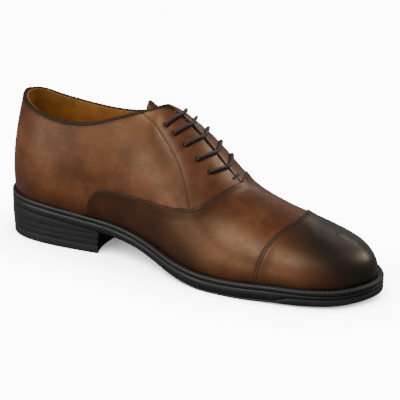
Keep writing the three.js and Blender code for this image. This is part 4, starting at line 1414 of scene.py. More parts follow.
@dataclass
class Upper:
    """Vamp, cap, quarters, binding and tab: the pieces that are seen from outside."""

    wardrobe: Wardrobe
    vamp_lap: float = 0.75
    cap_lap: float = 0.8
    seam_rows: tuple[float, float] = (1.3, 2.9)
    tab_half: float = 5.5
    tab_height: float = 14.0
    hole_radius: float = 1.75

    def build(self) -> None:
        """Make all the pieces."""
        self.toe_cap()
        self.vamp()
        for side in Side:
            self.quarter(side)
        self.binding()
        self.back_tab()
        self.stitches()

    def toe_cap(self) -> None:
        """The cap, lapped over the vamp at its seam."""
        skin = Skin("toe_cap_leather")
        for side in Side:
            patch = Patch(
                side, cap_station, level(TOE), level(0), level(1), 64, 60, rolled=("start",),
                raised=(("start", self.cap_lap, 10.0),),
                grooves=(("start", self.seam_rows[0]), ("start", self.seam_rows[1])),
            )
            patch.add_to(skin, skip=("last_row", "last_column"))
        obj = skin.build(weld=0.05)
        self.relax(obj, LAST.point(TOE, 1.0), 17.0, 110)
        self.relax(obj, LAST.point(TOE, 0.97), 19.0, 60)
        settle(obj, self.wardrobe.cap, "toe_calf", "toe_cap")

    @staticmethod
    def relax(obj: Piece, centre: Array, reach: float, steps: int) -> None:
        """Even out the mesh where the last's ribs run together.

        Args:
            obj: The piece.
            centre: Place where the ribs meet, as drawn.
            reach: Radius in millimetres that is evened out, fading at its rim.
            steps: Rounds of smoothing.
        """
        middle = Vector(to_frame(centre))
        work = bmesh.new()
        work.from_mesh(obj.data)
        near = [v for v in work.verts if (v.co - middle).length < reach * MILLIMETRE]
        kept = [vert.co.copy() for vert in near]
        for _ in range(steps):
            bmesh.ops.smooth_vert(work, verts=near, factor=0.5, use_axis_x=True, use_axis_y=True,
                                  use_axis_z=True)
        for vert, place in zip(near, kept):
            share = 1 - float(smoothstep((place - middle).length / MILLIMETRE, 0.45 * reach, reach))
            vert.co = place.lerp(vert.co, share)
        work.to_mesh(obj.data)
        work.free()

    @staticmethod
    def vamp_edge(station: Array) -> Array:
        """Top of the vamp: its seam behind the throat, the ridge ahead of it."""
        return np.where(station < THROAT, along_table(VAMP_SEAM, station), 1.0)

    def vamp(self) -> None:
        """The vamp, lapped over the quarters; its front edge runs under the cap."""
        skin = Skin("vamp_leather")
        for side in Side:
            patch = Patch(
                side, level(VAMP_SEAM[0][0]), lambda rise: cap_station(rise) + 0.12, level(0),
                self.vamp_edge, 210, 56, rolled=("high",), raised=(("high", self.vamp_lap, 9.0),),
                grooves=(("high", self.seam_rows[0]), ("high", self.seam_rows[1])),
                seam=seam_path(side, VAMP_SEAM),
            )
            patch.add_to(skin, self.under_cap, wall_until=THROAT)
        settle(skin.build(weld=0.05), self.wardrobe.vamp, "upper_calf", "vamp")

    @staticmethod
    def under_cap(grid: Grid) -> Array:
        """The vamp's front edge sinks a little under the cap."""
        return 0.35 * (1 - smoothstep(grid["end"], 0.5, 4.0))

    def quarter_foot(self, station: Array) -> Array:
        """Lower edge of a quarter, tucked under the vamp.

        Args:
            station: Station from the heel.

        Returns:
            Rises of the edge.
        """
        behind = np.asarray(station, float) - 0.12
        seam = along_table(VAMP_SEAM, behind) - 0.035
        return np.where(behind < VAMP_SEAM[0][0], 0.0, np.maximum(seam, 0.0))

    def eyelet_dimples(self, side: Side) -> Callable[[Grid], Array]:
        """Leather pulled in a little round each lace hole, and pressed along the facing stitch.

        Args:
            side: Side of the shoe.

        Returns:
            A function from a grid to its extra depth.
        """
        def shape(grid: Grid) -> Array:
            """Extra depth over a quarter's grid.

            Args:
                grid: The piece's grid.

            Returns:
                Depths in millimetres.
            """
            places = LAST.point(grid["round"], grid["rise"])
            depth = np.zeros(grid["rise"].shape)
            for station, rise in EYELETS:
                hole = LAST.point(side_round(side, station), rise)
                away = np.linalg.norm(places - hole, axis=-1)
                depth += 0.45 * np.exp(-((away / 2.9) ** 2))
            across = distance_to(places, seam_path(side, FACING_SEAM, reach=FACING_EASE))
            depth += 0.22 * np.exp(-((across / 0.75) ** 2))
            return depth * smoothstep(grid["high"], 0.0, 1.0)
        return shape

    def quarter(self, side: Side) -> None:
        """One quarter with its five punched holes.

        Args:
            side: Side of the shoe.
        """
        skin = Skin(f"quarter_leather_{side.word}")
        patch = Patch(
            side, level(0), level(THROAT - 0.01), self.quarter_foot, level(1), 230, 100,
            rolled=("start", "high"),
        )
        patch.add_to(skin, self.eyelet_dimples(side))
        obj = skin.build(weld=0.004)
        self.punch(obj, side)
        settle(obj, self.wardrobe.calf, "upper_calf", f"quarter_{side.word}")

    def punch(self, obj: Piece, side: Side) -> None:
        """Cut the lace holes through a quarter.

        Args:
            obj: The quarter.
            side: Side of the shoe.
        """
        cutter = Skin("punch")
        for station, rise in EYELETS:
            rounds = side_round(side, station)
            centre = LAST.point(rounds, rise)
            outward = LAST.normal(rounds, rise)
            across = unit(np.cross(outward, [0.0, 0.0, 1.0]))
            up = np.cross(outward, across)
            ring = circle(across, up, 20)
            rings = [centre + outward * height + ring * self.hole_radius for height in (3.0, -3.5)]
            cutter.add(np.concatenate(rings), tube_faces(2, 20))
        tool = cutter.build()
        modifier = obj.modifiers.new("holes", "BOOLEAN")
        modifier.operation = "DIFFERENCE"
        modifier.object = tool
        modifier.solver = "EXACT"
        finished = bpy.data.meshes.new_from_object(obj.evaluated_get(bpy.context.evaluated_depsgraph_get()))
        obj.modifiers.clear()
        obj.data = finished
        bpy.data.objects.remove(tool)

    def binding(self) -> None:
        """Folded strip over the topline, from one facing's corner round the heel to the other."""
        section = np.array((
            (-2.2, 0.5), (-2.2, 0.0), (-1.95, -0.2), (-1.1, -0.32), (-0.4, -0.24), (0.1, 0.1),
            (0.42, 0.75), (0.48, 1.35), (0.3, 2.0), (0.0, 2.4), (-0.7, 2.62), (-1.6, 2.66), (-1.7, 2.4),
            (-1.7, 0.7),
        ))
        rounds = np.linspace(LOOP - 6.93, LOOP + 6.93, 420)
        top = LAST.point(rounds, 1.0)
        rising = unit(top - LAST.point(rounds, 0.965))
        outward = LAST.normal(rounds, 0.97)
        fade = np.minimum(1, 0.25 + np.minimum(np.arange(420), np.arange(420)[::-1]) / 14)
        rings = [top + rising * (height * fade)[:, None] - outward * depth for height, depth in section]
        points = np.stack(rings, axis=1)
        skin = Skin("topline_fold")
        skin.add(points, tube_faces(420, len(section)), edge=0.0, rise=1.0, station=0.0)
        settle(skin.build(), self.wardrobe.binding, "binding_calf", "topline_binding")

    def back_tab(self) -> None:
        """Small dark strip over the top of the back seam."""
        skin = Skin("heel_tab")
        stations = self.tab_half / 21.0
        for side in Side:
            patch = Patch(
                side, level(0), level(stations),
                lambda station: 1 - self.tab_height / LAST.rib_length(station), level(1.0), 16, 26,
                rolled=("end", "low"), face_depth=-0.75, back_depth=0.1,
            )
            patch.add_to(skin, skip=("first_row",))
        settle(skin.build(weld=0.05), self.wardrobe.binding, "binding_calf", "back_tab")

    def seam_offset(self, side: Side, stations: Array, rises: Array, inset: float, lift: float,
                    ) -> tuple[Array, Array]:
        """A line beside a seam, this far on the side of the vamp or cap, and its normals.

        Args:
            side: Side of the shoe.
            stations: Stations of the seam.
            rises: Rises of the seam.
            inset: Distance beside it, in millimetres.
            lift: Height over the last's face, in millimetres.

        Returns:
            Points and normals.
        """
        rounds = side_round(side, stations)
        path = LAST.point(rounds, rises)
        outward = LAST.normal(rounds, rises)
        ahead = unit(np.gradient(path, axis=0))
        beside = unit(np.cross(ahead, outward)) * (1 if side is Side.LATERAL else -1)
        return path + beside * inset + outward * lift, outward

    def stitches(self) -> None:
        """Every visible row of thread on the upper."""
        fine = Stitching(pitch=1.55, shown=0.86, radius=0.24)
        rows = Skin("vamp_stitching")
        for side in Side:
            stations, rises = dense(VAMP_SEAM, 160)
            for inset in self.seam_rows:
                keep = stations < 8.97
                path, outward = self.seam_offset(side, stations, rises, inset, self.vamp_lap - 0.12)
                fine.add_to(rows, path[keep], outward[keep])
        sew(rows, self.wardrobe.thread)
        rows = Skin("cap_stitching")
        for side in Side:
            stations, rises = dense(CAP_SEAM, 120)
            for inset in self.seam_rows:
                rounds = side_round(side, stations + inset / 22.5)
                path = LAST.at(rounds, rises, 0.12 - self.cap_lap)
                fine.add_to(rows, path, LAST.normal(rounds, rises))
        sew(rows, self.wardrobe.thread)
        rows = Skin("facing_stitching")
        for side in Side:
            stations, rises = (soften_line(line, FACING_EASE) for line in dense(FACING_SEAM, SEAM_POINTS))
            path, outward = self.seam_offset(side, stations, rises, 0.0, -0.05)
            fine.add_to(rows, path, outward)
        sew(rows, self.wardrobe.thread)
        rows = Skin("binding_stitching")
        rounds = np.linspace(LOOP - 6.9, LOOP + 6.9, 300)
        rises = 1 - 3.3 / LAST.rib_length(rounds)
        path = LAST.at(rounds, rises, 0.0)
        Stitching(pitch=1.7, shown=0.8, radius=0.2).add_to(rows, path, LAST.normal(rounds, rises))
        sew(rows, self.wardrobe.thread)
        self.bar_tack()

    def bar_tack(self) -> None:
        """Short bar of thread across the foot of the facings."""
        skin = Skin("throat_bar_tack")
        for shift in (0.0, 0.35, 0.7):
            station = 8.83 + shift / 21
            lateral = LAST.at(station, np.linspace(0.955, 0.999, 5), -0.35)
            medial = LAST.at(LOOP - station, np.linspace(0.999, 0.955, 5), -0.35)
            path = smooth_path(np.concatenate([lateral[:-1], medial[1:]]), 4)
            _, across, up = frames_along(path)
            rings = [p + 0.3 * circle(a, u, 8) for p, a, u in zip(path, across, up)]
            skin.add(np.concatenate(rings), tube_faces(len(path), 8))
        sew(skin, self.wardrobe.thread)


# ------------------------------------------------------------------ inside the shoe


@dataclass
class Inside:
    """Linings, sock and the plain inner pieces that stay as CAD."""

    wardrobe: Wardrobe

    def build(self) -> None:
        """Make the linings and the sock, and dress the hidden pieces."""
        skin = Skin("heel_grip_lining")
        for side in Side:
            patch = self.lining(side, level(0), level(HEEL_LINING_STATION), 0.996)
            patch.add_to(skin, skip=("first_row",))
        settle(skin.build(weld=0.05), self.wardrobe.lining, "lining_calf", "heel_lining")
        for side in Side:
            skin = Skin(f"side_lining_{side.word}")
            patch = self.lining(side, level(HEEL_LINING_STATION + 0.02), self.join_station, 0.994)
            patch.add_to(skin)
            settle(skin.build(), self.wardrobe.lining, "lining_calf", f"quarter_lining_{side.word}")
        skin = Skin("toe_lining")
        for side in Side:
            patch = self.lining(side, lambda rise: self.join_station(rise) + 0.02, level(TOE), 1, 40)
            patch.add_to(skin, skip=("last_row", "last_column"))
        settle(skin.build(weld=0.05), self.wardrobe.lining, "lining_calf", "vamp_lining")
        self.lining_seam()
        self.sock()
        self.dress_hidden()

    @staticmethod
    def lining(side: Side, start: Limit, end: Limit, top: float, rows: int = 36) -> Patch:
        """A lining patch from the feather line up to a rise.

        Args:
            side: Side of the shoe.
            start: Where it starts.
            end: Where it ends.
            top: Rise of its upper edge.
            rows: Grid lines up it.

        Returns:
            The patch.
        """
        return Patch(side, start, end, level(0), level(top), 70, rows, face_depth=LINING_TOP,
                     back_depth=LINING_BACK)

    @staticmethod
    def join_station(rise: Array) -> Array:
        """Station where the quarter's lining meets the vamp's."""
        return along_table([(r, s) for s, r in LINING_JOIN], rise)

    def lining_seam(self) -> None:
        """Thread down the join between heel lining and side linings."""
        skin = Skin("lining_stitching")
        fine = Stitching(pitch=1.8, shown=0.8, radius=0.2)
        for side in Side:
            for station in (HEEL_LINING_STATION - 0.09, HEEL_LINING_STATION - 0.17):
                rises = np.linspace(0.2, 0.97, 60)
                rounds = np.full(60, side_round(side, station))
                path = LAST.at(rounds, rises, LINING_BACK + 0.05)
                fine.add_to(skin, path, -LAST.normal(rounds, rises))
        sew(skin, self.wardrobe.thread)

    def sock(self) -> None:
        """The sock on the insole, turned up a little at its edge."""
        rounds = np.linspace(0, LOOP, 241)[:-1]
        rows = []
        shape = ((0.0, 0.35), (0.6, 0.75), (1.6, 0.45), (4.0, 0.12), (9.0, 0.0))
        for inset, lift in shape:
            margin = -4.4 - 1.2 * smoothstep(LAST.station(rounds), 12, 14) - inset
            edge = plan_point(rounds, margin)
            edge[:, 2] = feather_height(edge[:, 0]) + 3.5 + lift
            rows.append(edge)
        under = rows[0].copy()
        under[:, 2] = feather_height(under[:, 0]) + 2.55
        loops = [under, *rows]
        skin = Skin("sock_leather")
        add_slab(skin, loops, caps=True)
        settle(skin.build(weld=0.01), self.wardrobe.sock, "lining_calf", "sock_lining")

    def dress_hidden(self) -> None:
        """Give the CAD pieces that stay their finishes."""
        nodes = frame["nodes"]
        dress = {
            "heel_counter": self.wardrobe.board, "toe_puff": self.wardrobe.board,
            "facing_stay_lateral": self.wardrobe.board, "facing_stay_medial": self.wardrobe.board,
            "insole_board": self.wardrobe.board, "cork_filler": self.wardrobe.cork,
            "shank": self.wardrobe.steel,
        }
        for name in nodes:
            if name.startswith("heel_nail_"):
                dress[name] = self.wardrobe.steel
            if name.startswith("eyelet_"):
                dress[name] = self.wardrobe.brass
        for name, material in dress.items():
            mesh = nodes[name].data
            mesh.materials.clear()
            mesh.materials.append(material)


def add_slab(skin: Skin, loops: Sequence[Array], caps: bool, columns: int = 8,
             worn: Sequence[float] = ()) -> None:
    """Add a closed slab whose sides run through a stack of loops.

    Args:
        skin: The mesh that takes it.
        loops: Closed loops with the same count of points, symmetric from heel to toe and back.
        caps: Whether the first and last loop are closed with rows from side to side.
        columns: Points across each cap.
        worn: How much of the lighter edge colour, a painted highlight, each loop takes.
    """
    count = len(loops[0])
    painted_edge_highlight = np.repeat(np.array(worn or [0.0] * len(loops), float), count)
    skin.add(np.concatenate(loops), ring_faces(len(loops), count), worn=painted_edge_highlight)
    if not caps:
        return
    for loop in (loops[0], loops[-1]):
        half = count // 2
        lateral, medial = loop[:half + 1], np.concatenate([loop[:1], loop[:half - 1:-1]])
        f = np.linspace(0, 1, columns)[None, :, None]
        rows = lateral[:, None] * (1 - f) + medial[:, None] * f
        skin.add(rows, grid_faces(half + 1, columns), worn=0.0)


# ------------------------------------------------------------------ tongue and lace


@dataclass
class Tongue:
    """The flap behind the lace, free at its top and stitched in at the throat."""

    wardrobe: Wardrobe
    depth: float = 7.7
    base_depth: float = 4.5
    side_depth: float = 6.4
    reach: float = 19.0
    leather: float = 1.2

    def row(self, station: float, under: float) -> Array:
        """Points across the tongue at a station.

        Args:
            station: Station from the heel.
            under: Extra depth in millimetres.

        Returns:
            Ten points from the lateral edge to the medial.
        """
        eased = smoothstep(station, 8.75, 9.2)
        depth = self.depth + (self.base_depth - self.depth) * eased + under
        rises = np.array([0.76, 0.82, 0.88, 0.94, 0.985])
        lateral = LAST.at(station, rises, depth)
        medial = LAST.at(LOOP - station, rises, depth)[::-1]
        return np.concatenate([lateral, medial])

    def sheet(self, under: float, trim: float) -> Array:
        """Rows of the tongue from its base to its top.

        Args:
            under: Extra depth in millimetres.
            trim: Millimetres by which it falls short.

        Returns:
            A grid of points.
        """
        stations = [9.35 - trim / 19, 9.1, 8.9, 8.7, 8.4, 8.1, 7.8, 7.4, 7.0]
        rows = [self.row(station, under) for station in stations]
        top, before = rows[-1], rows[-2]
        centre = (top[4] + top[5]) / 2
        climb = unit(centre - (before[4] + before[5]) / 2)
        f = np.linspace(0, 1, 10)
        crown_rows = ((6.65, 0.84, 0.26), (6.3, 0.88, 0.52), (5.95, 0.92, 0.78), (5.72, 0.95, 1))
        for station, rise, share in crown_rows:
            peak = centre + climb * (self.reach - trim) * share
            edges = [
                LAST.at(side_round(side, station), rise, self.side_depth + under) for side in Side
            ]
            crown = 1 - np.abs(2 * f - 1) ** 2.2
            edge = edges[0][None] * (1 - f[:, None]) + edges[1][None] * f[:, None]
            row = edge.copy()
            row[:, 0] = edge[:, 0] * (1 - crown) + peak[0] * crown
            row[:, 2] = edge[:, 2] * (1 - crown) + peak[2] * crown
            rows.append(row)
        return self.refine(np.array(rows))

    @staticmethod
    def refine(rows: Array) -> Array:
        """A denser, smoothed grid through the rows."""
        along = np.stack([smooth_path(rows[:, k], 6) for k in range(rows.shape[1])], axis=1)
        return np.stack([smooth_path(row, 5) for row in along], axis=0)

    def layer(self, name: str, under: float, thick: float, trim: float) -> Skin:
        """One closed layer of the tongue, its edges drawn in between face and back.

        Args:
            name: The piece's name.
            under: Extra depth in millimetres.
            thick: Thickness in millimetres.
            trim: Millimetres by which it falls short.

        Returns:
            The layer's mesh.
        """
        face = self.sheet(under, trim)
        back = self.sheet(under + thick, trim)
        middle = self.sheet(under + thick / 2, trim)
        rows, columns, _ = face.shape
        rim = np.zeros((rows, columns))
        rim[[0, -1], :] = 1
        rim[:, [0, -1]] = 1
        face = face + (middle - face) * 0.55 * rim[..., None]
        back = back + (middle - back) * 0.55 * rim[..., None]
        skin = Skin(name)
        faces = grid_faces(rows, columns) + grid_faces(rows, columns, rows * columns)
        faces += rim_faces(rows, columns)
        skin.add(np.concatenate([face.reshape(-1, 3), back.reshape(-1, 3)]), faces,
                 edge=np.tile(rim.reshape(-1) * 0.7, 2), rise=1.0, station=8.0)
        return skin

    def build(self) -> None:
        """Make the leather flap, its lining and the stitches round its top."""
        skin = self.layer("tongue_leather", 0.0, self.leather, 0.0)
        settle(skin.build(), self.wardrobe.tongue, "upper_calf", "tongue", body=TONGUE_BODY)
        skin = self.layer("tongue_backing", self.leather + 0.3, 0.8, 1.0)
        settle(skin.build(), self.wardrobe.lining, "lining_calf", "tongue_lining", body=TONGUE_BODY)
        face = self.sheet(-0.03, 1.8)
        columns = face.shape[1]
        rows = face.shape[0]
        path = np.concatenate([face[40:rows - 3, 3], face[rows - 3, 4:columns - 4],
                               face[40:rows - 3, columns - 4][::-1]])
        normals = np.tile(np.array([0.35, 0.0, 0.94]), (len(path), 1))
        thread = Skin("tongue_stitching")
        Stitching(pitch=1.8, shown=0.8, radius=0.2).add_to(thread, path, normals)
        sew(thread, self.wardrobe.thread, TONGUE_BODY)


@dataclass
class Lace:
    """One round waxed lace in straight bars, its ends tucked inside with their tips."""

    wardrobe: Wardrobe
    radius: float = 1.25
    out: float = 1.7
    inside: float = 5.6
    sidestep: float = 4.2
    lean: float = 0.18
    tail: float = 10.0
    tip_length: float = 16.0
    sides: int = 16
    ring_pitch: float = 0.42
    braid_pitch: float = 5.2
    easing_rounds: int = 5

    def hole(self, side: Side, row: int, depth: float) -> Array:
        """Place of a lace hole at a depth."""
        station, rise = EYELETS[row]
        return LAST.at(side_round(side, station), rise, depth)

    def bar(self, row: int, start: Side) -> list[Array]:
        """A bar over the facings, from one side's hole to the other's.

        Args:
            row: Row of lace holes, from the throat.
            start: Side that it starts from.

        Returns:
            Points along it.
        """
        station, rise = EYELETS[row]
        shape = ((rise, 0.1), (rise + 0.013, self.out - 0.5), (rise + 0.037, self.out),
                 (0.91, self.out), (0.965, self.out), (1.0, self.out))
        halves = {side: [] for side in Side}
        for place, height in shape:
            share = (place - rise) / (1 - rise)
            slipped = station + self.lean * share * (1.5 - 0.5 * share)
            for side in Side:
                halves[side].append(LAST.at(side_round(side, slipped), place, -height))
        other = Side(-start.value)
        return halves[start] + halves[other][::-1]

    def run(self, side: Side, first: int, last: int, sideways: float) -> list[Array]:
        """A run inside from one hole to another on the same side.

        Args:
            side: Side of the shoe.
            first: Row that it leaves.
            last: Row that it reaches.
            sideways: Millimetres that it swings aside.

        Returns:
            Points along it.
        """
        heading = unit(self.hole(side, last, self.inside) - self.hole(side, first, self.inside))

        def turn(row: int, sense: int) -> list[Array]:
            """The bend below a hole.

            Args:
                row: The hole's row.
                sense: 1 when leaving it, -1 when reaching it.

            Returns:
                Points of the bend.
            """
            return [
                self.hole(side, row, self.inside - height) + heading * shift * sense
                for shift, height in ((0, 1.3), (0.9, 0.35), (2.6, 0))
            ]

        middle = []
        if sideways:
            station, rise = EYELETS[(first + last) // 2]
            place = rise + sideways / RIB_RUN
            middle = [LAST.at(side_round(side, station), place, self.inside)]
        return turn(first, 1) + middle + turn(last, -1)[::-1]

    def tail_point(self, side: Side, row: int, down: float) -> Array:
        """Place on the tucked-in end, this far down from its hole.

        Args:
            side: Side of the shoe.
            row: The hole's row.
            down: Distance in millimetres.

        Returns:
            The place.
        """
        station, rise = EYELETS[row]
        rounds = side_round(side, station - 0.3 * down / 20)
        return LAST.at(rounds, rise - down / RIB_RUN, self.inside + 0.2)

    def end(self, side: Side, row: int) -> list[Array]:
        """The tucked-in end below a hole."""
        downs = (0.9, 3, 6.5, self.tail)
        return [self.hole(side, row, self.inside - 1.3)] + [self.tail_point(side, row, d) for d in downs]

    def route(self) -> Array:
        """Every point of the lace, from one tip to the other.

        Returns:
            The points.
        """
        lateral, medial = Side.LATERAL, Side.MEDIAL
        step = self.sidestep
        chain = self.end(lateral, 3)[::-1] + self.bar(3, lateral) + self.run(medial, 3, 1, step)
        chain += self.bar(1, medial) + self.run(lateral, 1, 0, 0) + self.bar(0, lateral)
        chain += self.run(medial, 0, 2, -step) + self.bar(2, medial) + self.run(lateral, 2, 4, step)
        chain += self.bar(4, lateral) + self.end(medial, 4)
        return np.array(chain)

    def build(self) -> None:
        """Make the lace and its two tips."""
        path, _ = resample(smooth_path(self.route(), 8), self.ring_pitch)
        kernel = np.array([1, 4, 6, 4, 1]) / 16
        for _ in range(self.easing_rounds):
            padded = np.concatenate([np.repeat(path[:1], 2, 0), path, np.repeat(path[-1:], 2, 0)])
            path = sum(kernel[k] * padded[k:k + len(path)] for k in range(5))
        _, across, up = frames_along(path)
        run = np.arange(len(path)) * self.ring_pitch
        angles = np.linspace(0, 2 * np.pi, self.sides, endpoint=False)
        turn = 2 * np.pi * run[:, None] / self.braid_pitch
        weave = np.abs(np.sin(2 * angles[None] + turn)) * np.abs(np.sin(2 * angles[None] - turn))
        radius = self.radius * (0.93 + 0.13 * np.sqrt(weave))
        ring = np.cos(angles)[None, :, None] * across[:, None] + np.sin(angles)[None, :, None] * up[:, None]
        skin = Skin("waxed_lace")
        skin.add(path[:, None] + ring * radius[..., None], tube_faces(len(path), self.sides))
        settle(skin.build(sharp=80), self.wardrobe.lace, "lace_cotton", "lace")
        for side, row in ((Side.LATERAL, 3), (Side.MEDIAL, 4)):
            self.tip(side, row)

    def tip(self, side: Side, row: int) -> None:
        """The shrunk tip on one end.

        Args:
            side: Side of the shoe.
            row: Row of the last hole on that end.
        """
        start = self.tail_point(side, row, self.tail)
        ahead = unit(self.tail_point(side, row, self.tail + self.tip_length) - start)
        across = unit(np.cross(ahead, [0.0, 0.0, 1.0]))
        up = np.cross(ahead, across)
        ring = circle(across, up, 14)
        shape = (
            (0.35, 1.0), (0.5, 1.2), (1.2, 1.2), (1.4, 1.1), (2.0, 1.14), (14.6, 1.1), (15.6, 0.9),
            (16.1, 0.5),
        )
        skin = Skin(f"lace_tip_{side.word}")
        rings = [start + ahead * along + ring * radius for along, radius in shape]
        skin.add(np.concatenate(rings), tube_faces(len(shape), 14))
        settle(skin.build(), self.wardrobe.tip, "aglet_film", f"aglet_{side.word}")


# ------------------------------------------------------------------ the bottom


@dataclass
class Bottom:
    """Welt, outsole, tread and heel."""

    wardrobe: Wardrobe
    welt_under: float = 7.0
    waist_sole: float = 8.8
    forepart_sole: float = 11.0
    toe_sole: float = 10.3
    tread_start: float = 146.0
    notch: float = 232.0
    notch_run: float = 9.0
    tread: float = 1.6
    toe_tread: float = 4.6
    heel_length: float = 88.5
    breast: float = 6.0
    taper: float = 0.8
    top_piece: float = 6.0
    lift: float = 4.0
    gap: float = 0.3

    def build(self) -> None:
        """Make all the pieces under the upper."""
        self.welt()
        self.outsole()
        self.forepart_tread()
        self.heel()
        self.welt_stitches()

    def sole_bottom(self, x: Array) -> Array:
        """Height of the sole's underside at a length.

        Args:
            x: Lengths as drawn, in millimetres.

        Returns:
            Heights in millimetres.
        """
        forepart = self.waist_sole + (self.forepart_sole - self.waist_sole) * smoothstep(x, 120, 178)
        depth = forepart + (self.toe_sole - forepart) * smoothstep(x, 208, 285)
        return np.maximum(0, feather_height(x) - depth)

    def tread_thickness(self, x: Array) -> Array:
        """Thickness of the forepart tread at a length.

        Args:
            x: Lengths as drawn, in millimetres.

        Returns:
            Thicknesses in millimetres.
        """
        start = 0.8 + (self.tread - 0.8) * smoothstep(x, self.tread_start, self.tread_start + 12)
        past = np.clip((x - self.notch) / self.notch_run, 0, 1)
        return start + (self.toe_tread - self.tread) * past

    @staticmethod
    def rounds(count: int = 420) -> Array:
        """Rounds of a full loop, heel first."""
        return np.linspace(0, LOOP, count + 1)[:-1]

    def welt(self) -> None:
        """The welt, with a bevelled top edge and a sunk stitch line."""
        rounds = self.rounds()
        width = welt_margin(rounds)
        shape = (
            (-self.welt_under, None, -0.35), (-1.0, None, -0.35), (0.25, None, -0.3),
            (None, -1.9, -0.22), (None, -1.55, -0.55), (None, -1.2, -0.22), (None, -0.55, -0.2),
            (None, -0.2, -0.3), (None, 0.0, -0.65), (None, 0.05, -1.6), (None, 0.0, -2.5),
            (None, -0.25, -2.9), (None, -0.8, -3.0), (-self.welt_under, None, -3.1),
        )
        loops = []
        for inner, outer, drop in shape:
            margin = np.full_like(width, inner) if outer is None else np.maximum(width + outer, 0.3)
            loop = plan_point(rounds, margin)
            loop[:, 2] = feather_height(loop[:, 0]) + drop
            loops.append(loop)
        skin = Skin("welt_strip")
        # The loops over the welt's bevelled top edge take the lighter colour of a painted highlight.
        worn = [0.0, 0.0, 0.0, 0.0, 0.0, 0.0, 0.15, 0.9, 0.6, 0.0, 0.0, 0.0, 0.0, 0.0, 0.0]
        add_slab(skin, [*loops, loops[0]], caps=False, worn=worn)
        settle(skin.build(weld=0.004), self.wardrobe.edge, "sole_leather", "welt")

    def welt_stitches(self) -> None:
        """Lock stitches along the welt, forepart and heel seat."""
        rounds = np.linspace(4.6, LOOP - 4.6, 500)
        margin = welt_margin(rounds) - 1.55
        path = plan_point(rounds, margin)
        path[:, 2] = feather_height(path[:, 0]) - 0.5
        normals = np.tile(np.array([0.0, 0.0, 1.0]), (len(path), 1))
        skin = Skin("welt_stitching")
        Stitching(pitch=3.1, shown=0.84, radius=0.5, sides=8).add_to(skin, path, normals)
        sew(skin, self.wardrobe.welt_thread)

    def outsole_low(self, x: Array) -> Array:
        """Underside of the outsole, above the tread where there is one."""
        eased = smoothstep(x, self.tread_start - 0.6, self.tread_start + 0.2)
        return self.sole_bottom(x) + (self.tread_thickness(x) + self.gap) * eased

    def outsole(self) -> None:
        """The outsole slab with rounded edges."""
        rounds = self.rounds()
        width = welt_margin(rounds)
        shape = ((-0.9, 1, -3.2), (-0.35, 1, -3.35), (0.02, 1, -3.75), (0.1, 0.5, 0.0),
                 (0.02, 0, 0.55), (-0.3, 0, 0.12), (-0.8, 0, 0.0))
        loops = []
        for offset, from_top, lift in shape:
            loop = plan_point(rounds, width + offset)
            top = feather_height(loop[:, 0])
            low = self.outsole_low(loop[:, 0])
            height = {1: top + lift, 0: low + lift, 0.5: (top - 3.6 + low) / 2}[from_top]
            loop[:, 2] = height
            loops.append(loop)
        skin = Skin("sole_slab")
        add_slab(skin, loops, caps=True, columns=24)
        settle(skin.build(weld=0.004), self.wardrobe.edge, "sole_leather", "outsole")

    def forepart_tread(self) -> None:
        """The tread under the forepart, thicker ahead of its slanted notch."""
        stations = np.linspace(0, TOE, 400)
        shares = np.linspace(0, 1, 221)
        spans = []
        for side in Side:
            edge = plan_point(side_round(side, stations), welt_margin(stations))
            start = np.interp(self.tread_start, edge[:, 0], stations)
            spans.append(start + (TOE - start) * shares)
        lateral, medial = spans
        rounds = np.concatenate([lateral, (LOOP - medial)[::-1][1:]])
        width = welt_margin(rounds)
        loops = []
        for offset, up, lift in ((-0.9, 1, 0.0), (-0.3, 1, -0.08), (0.0, 1, -0.35), (0.05, 0.5, 0.0),
                                 (-0.05, 0, 0.4), (-0.45, 0, 0.08), (-0.9, 0, 0.0)):
            loop = plan_point(rounds, width + offset)
            low = self.sole_bottom(loop[:, 0])
            thick = self.tread_thickness(loop[:, 0])
            under = low + np.minimum(lift, thick / 2)
            loop[:, 2] = {1: low + thick + lift, 0.5: low + thick * 0.5, 0: under}[up]
            loops.append(loop)
        skin = Skin("tread_slab")
        count = len(rounds)
        skin.add(np.concatenate(loops), grid_faces(len(loops), count))
        half = count // 2
        f = np.linspace(0, 1, 24)[None, :, None]
        for loop in (loops[0], loops[-1]):
            rows = loop[:half + 1, None] * (1 - f) + loop[::-1][:half + 1, None] * f
            skin.add(rows, grid_faces(half + 1, 24))
        back = [loop[0][None] * (1 - f[0]) + loop[-1][None] * f[0] for loop in loops]
        skin.add(np.concatenate(back), grid_faces(len(loops), 24))
        settle(skin.build(weld=0.004), self.wardrobe.rubber, "tread_rubber", "forepart_tread")

    def heel_loop(self, draw_in: float) -> Array:
        """Plan of the heel drawn in by a margin, its breast hollow and its corners eased.

        Args:
            draw_in: The margin in millimetres.

        Returns:
            A closed loop on the ground.
        """
        stations = np.linspace(0, TOE, 800)
        sides = {}
        for side in Side:
            rounds = side_round(side, stations)
            edge = plan_point(rounds, welt_margin(rounds) - draw_in)
            last = np.interp(self.heel_length - draw_in, edge[:, 0], stations)
            rounds = side_round(side, np.linspace(0, last, 130))
            sides[side] = plan_point(rounds, welt_margin(rounds) - draw_in)
        lateral, medial = sides[Side.LATERAL], sides[Side.MEDIAL]
        start, end = medial[-1], lateral[-1]
        f = np.linspace(0, 1, 26)[1:-1, None]
        line = start * (1 - f) + end * f
        ease = np.clip(1 - np.abs(2 * f[:, 0] - 1) ** 2.2, 0, 1)
        line[:, 0] -= self.breast * ease - 0.2
        loop = np.concatenate([lateral[::-1], medial[1:], line])
        loop[:, 2] = 0
        return loop

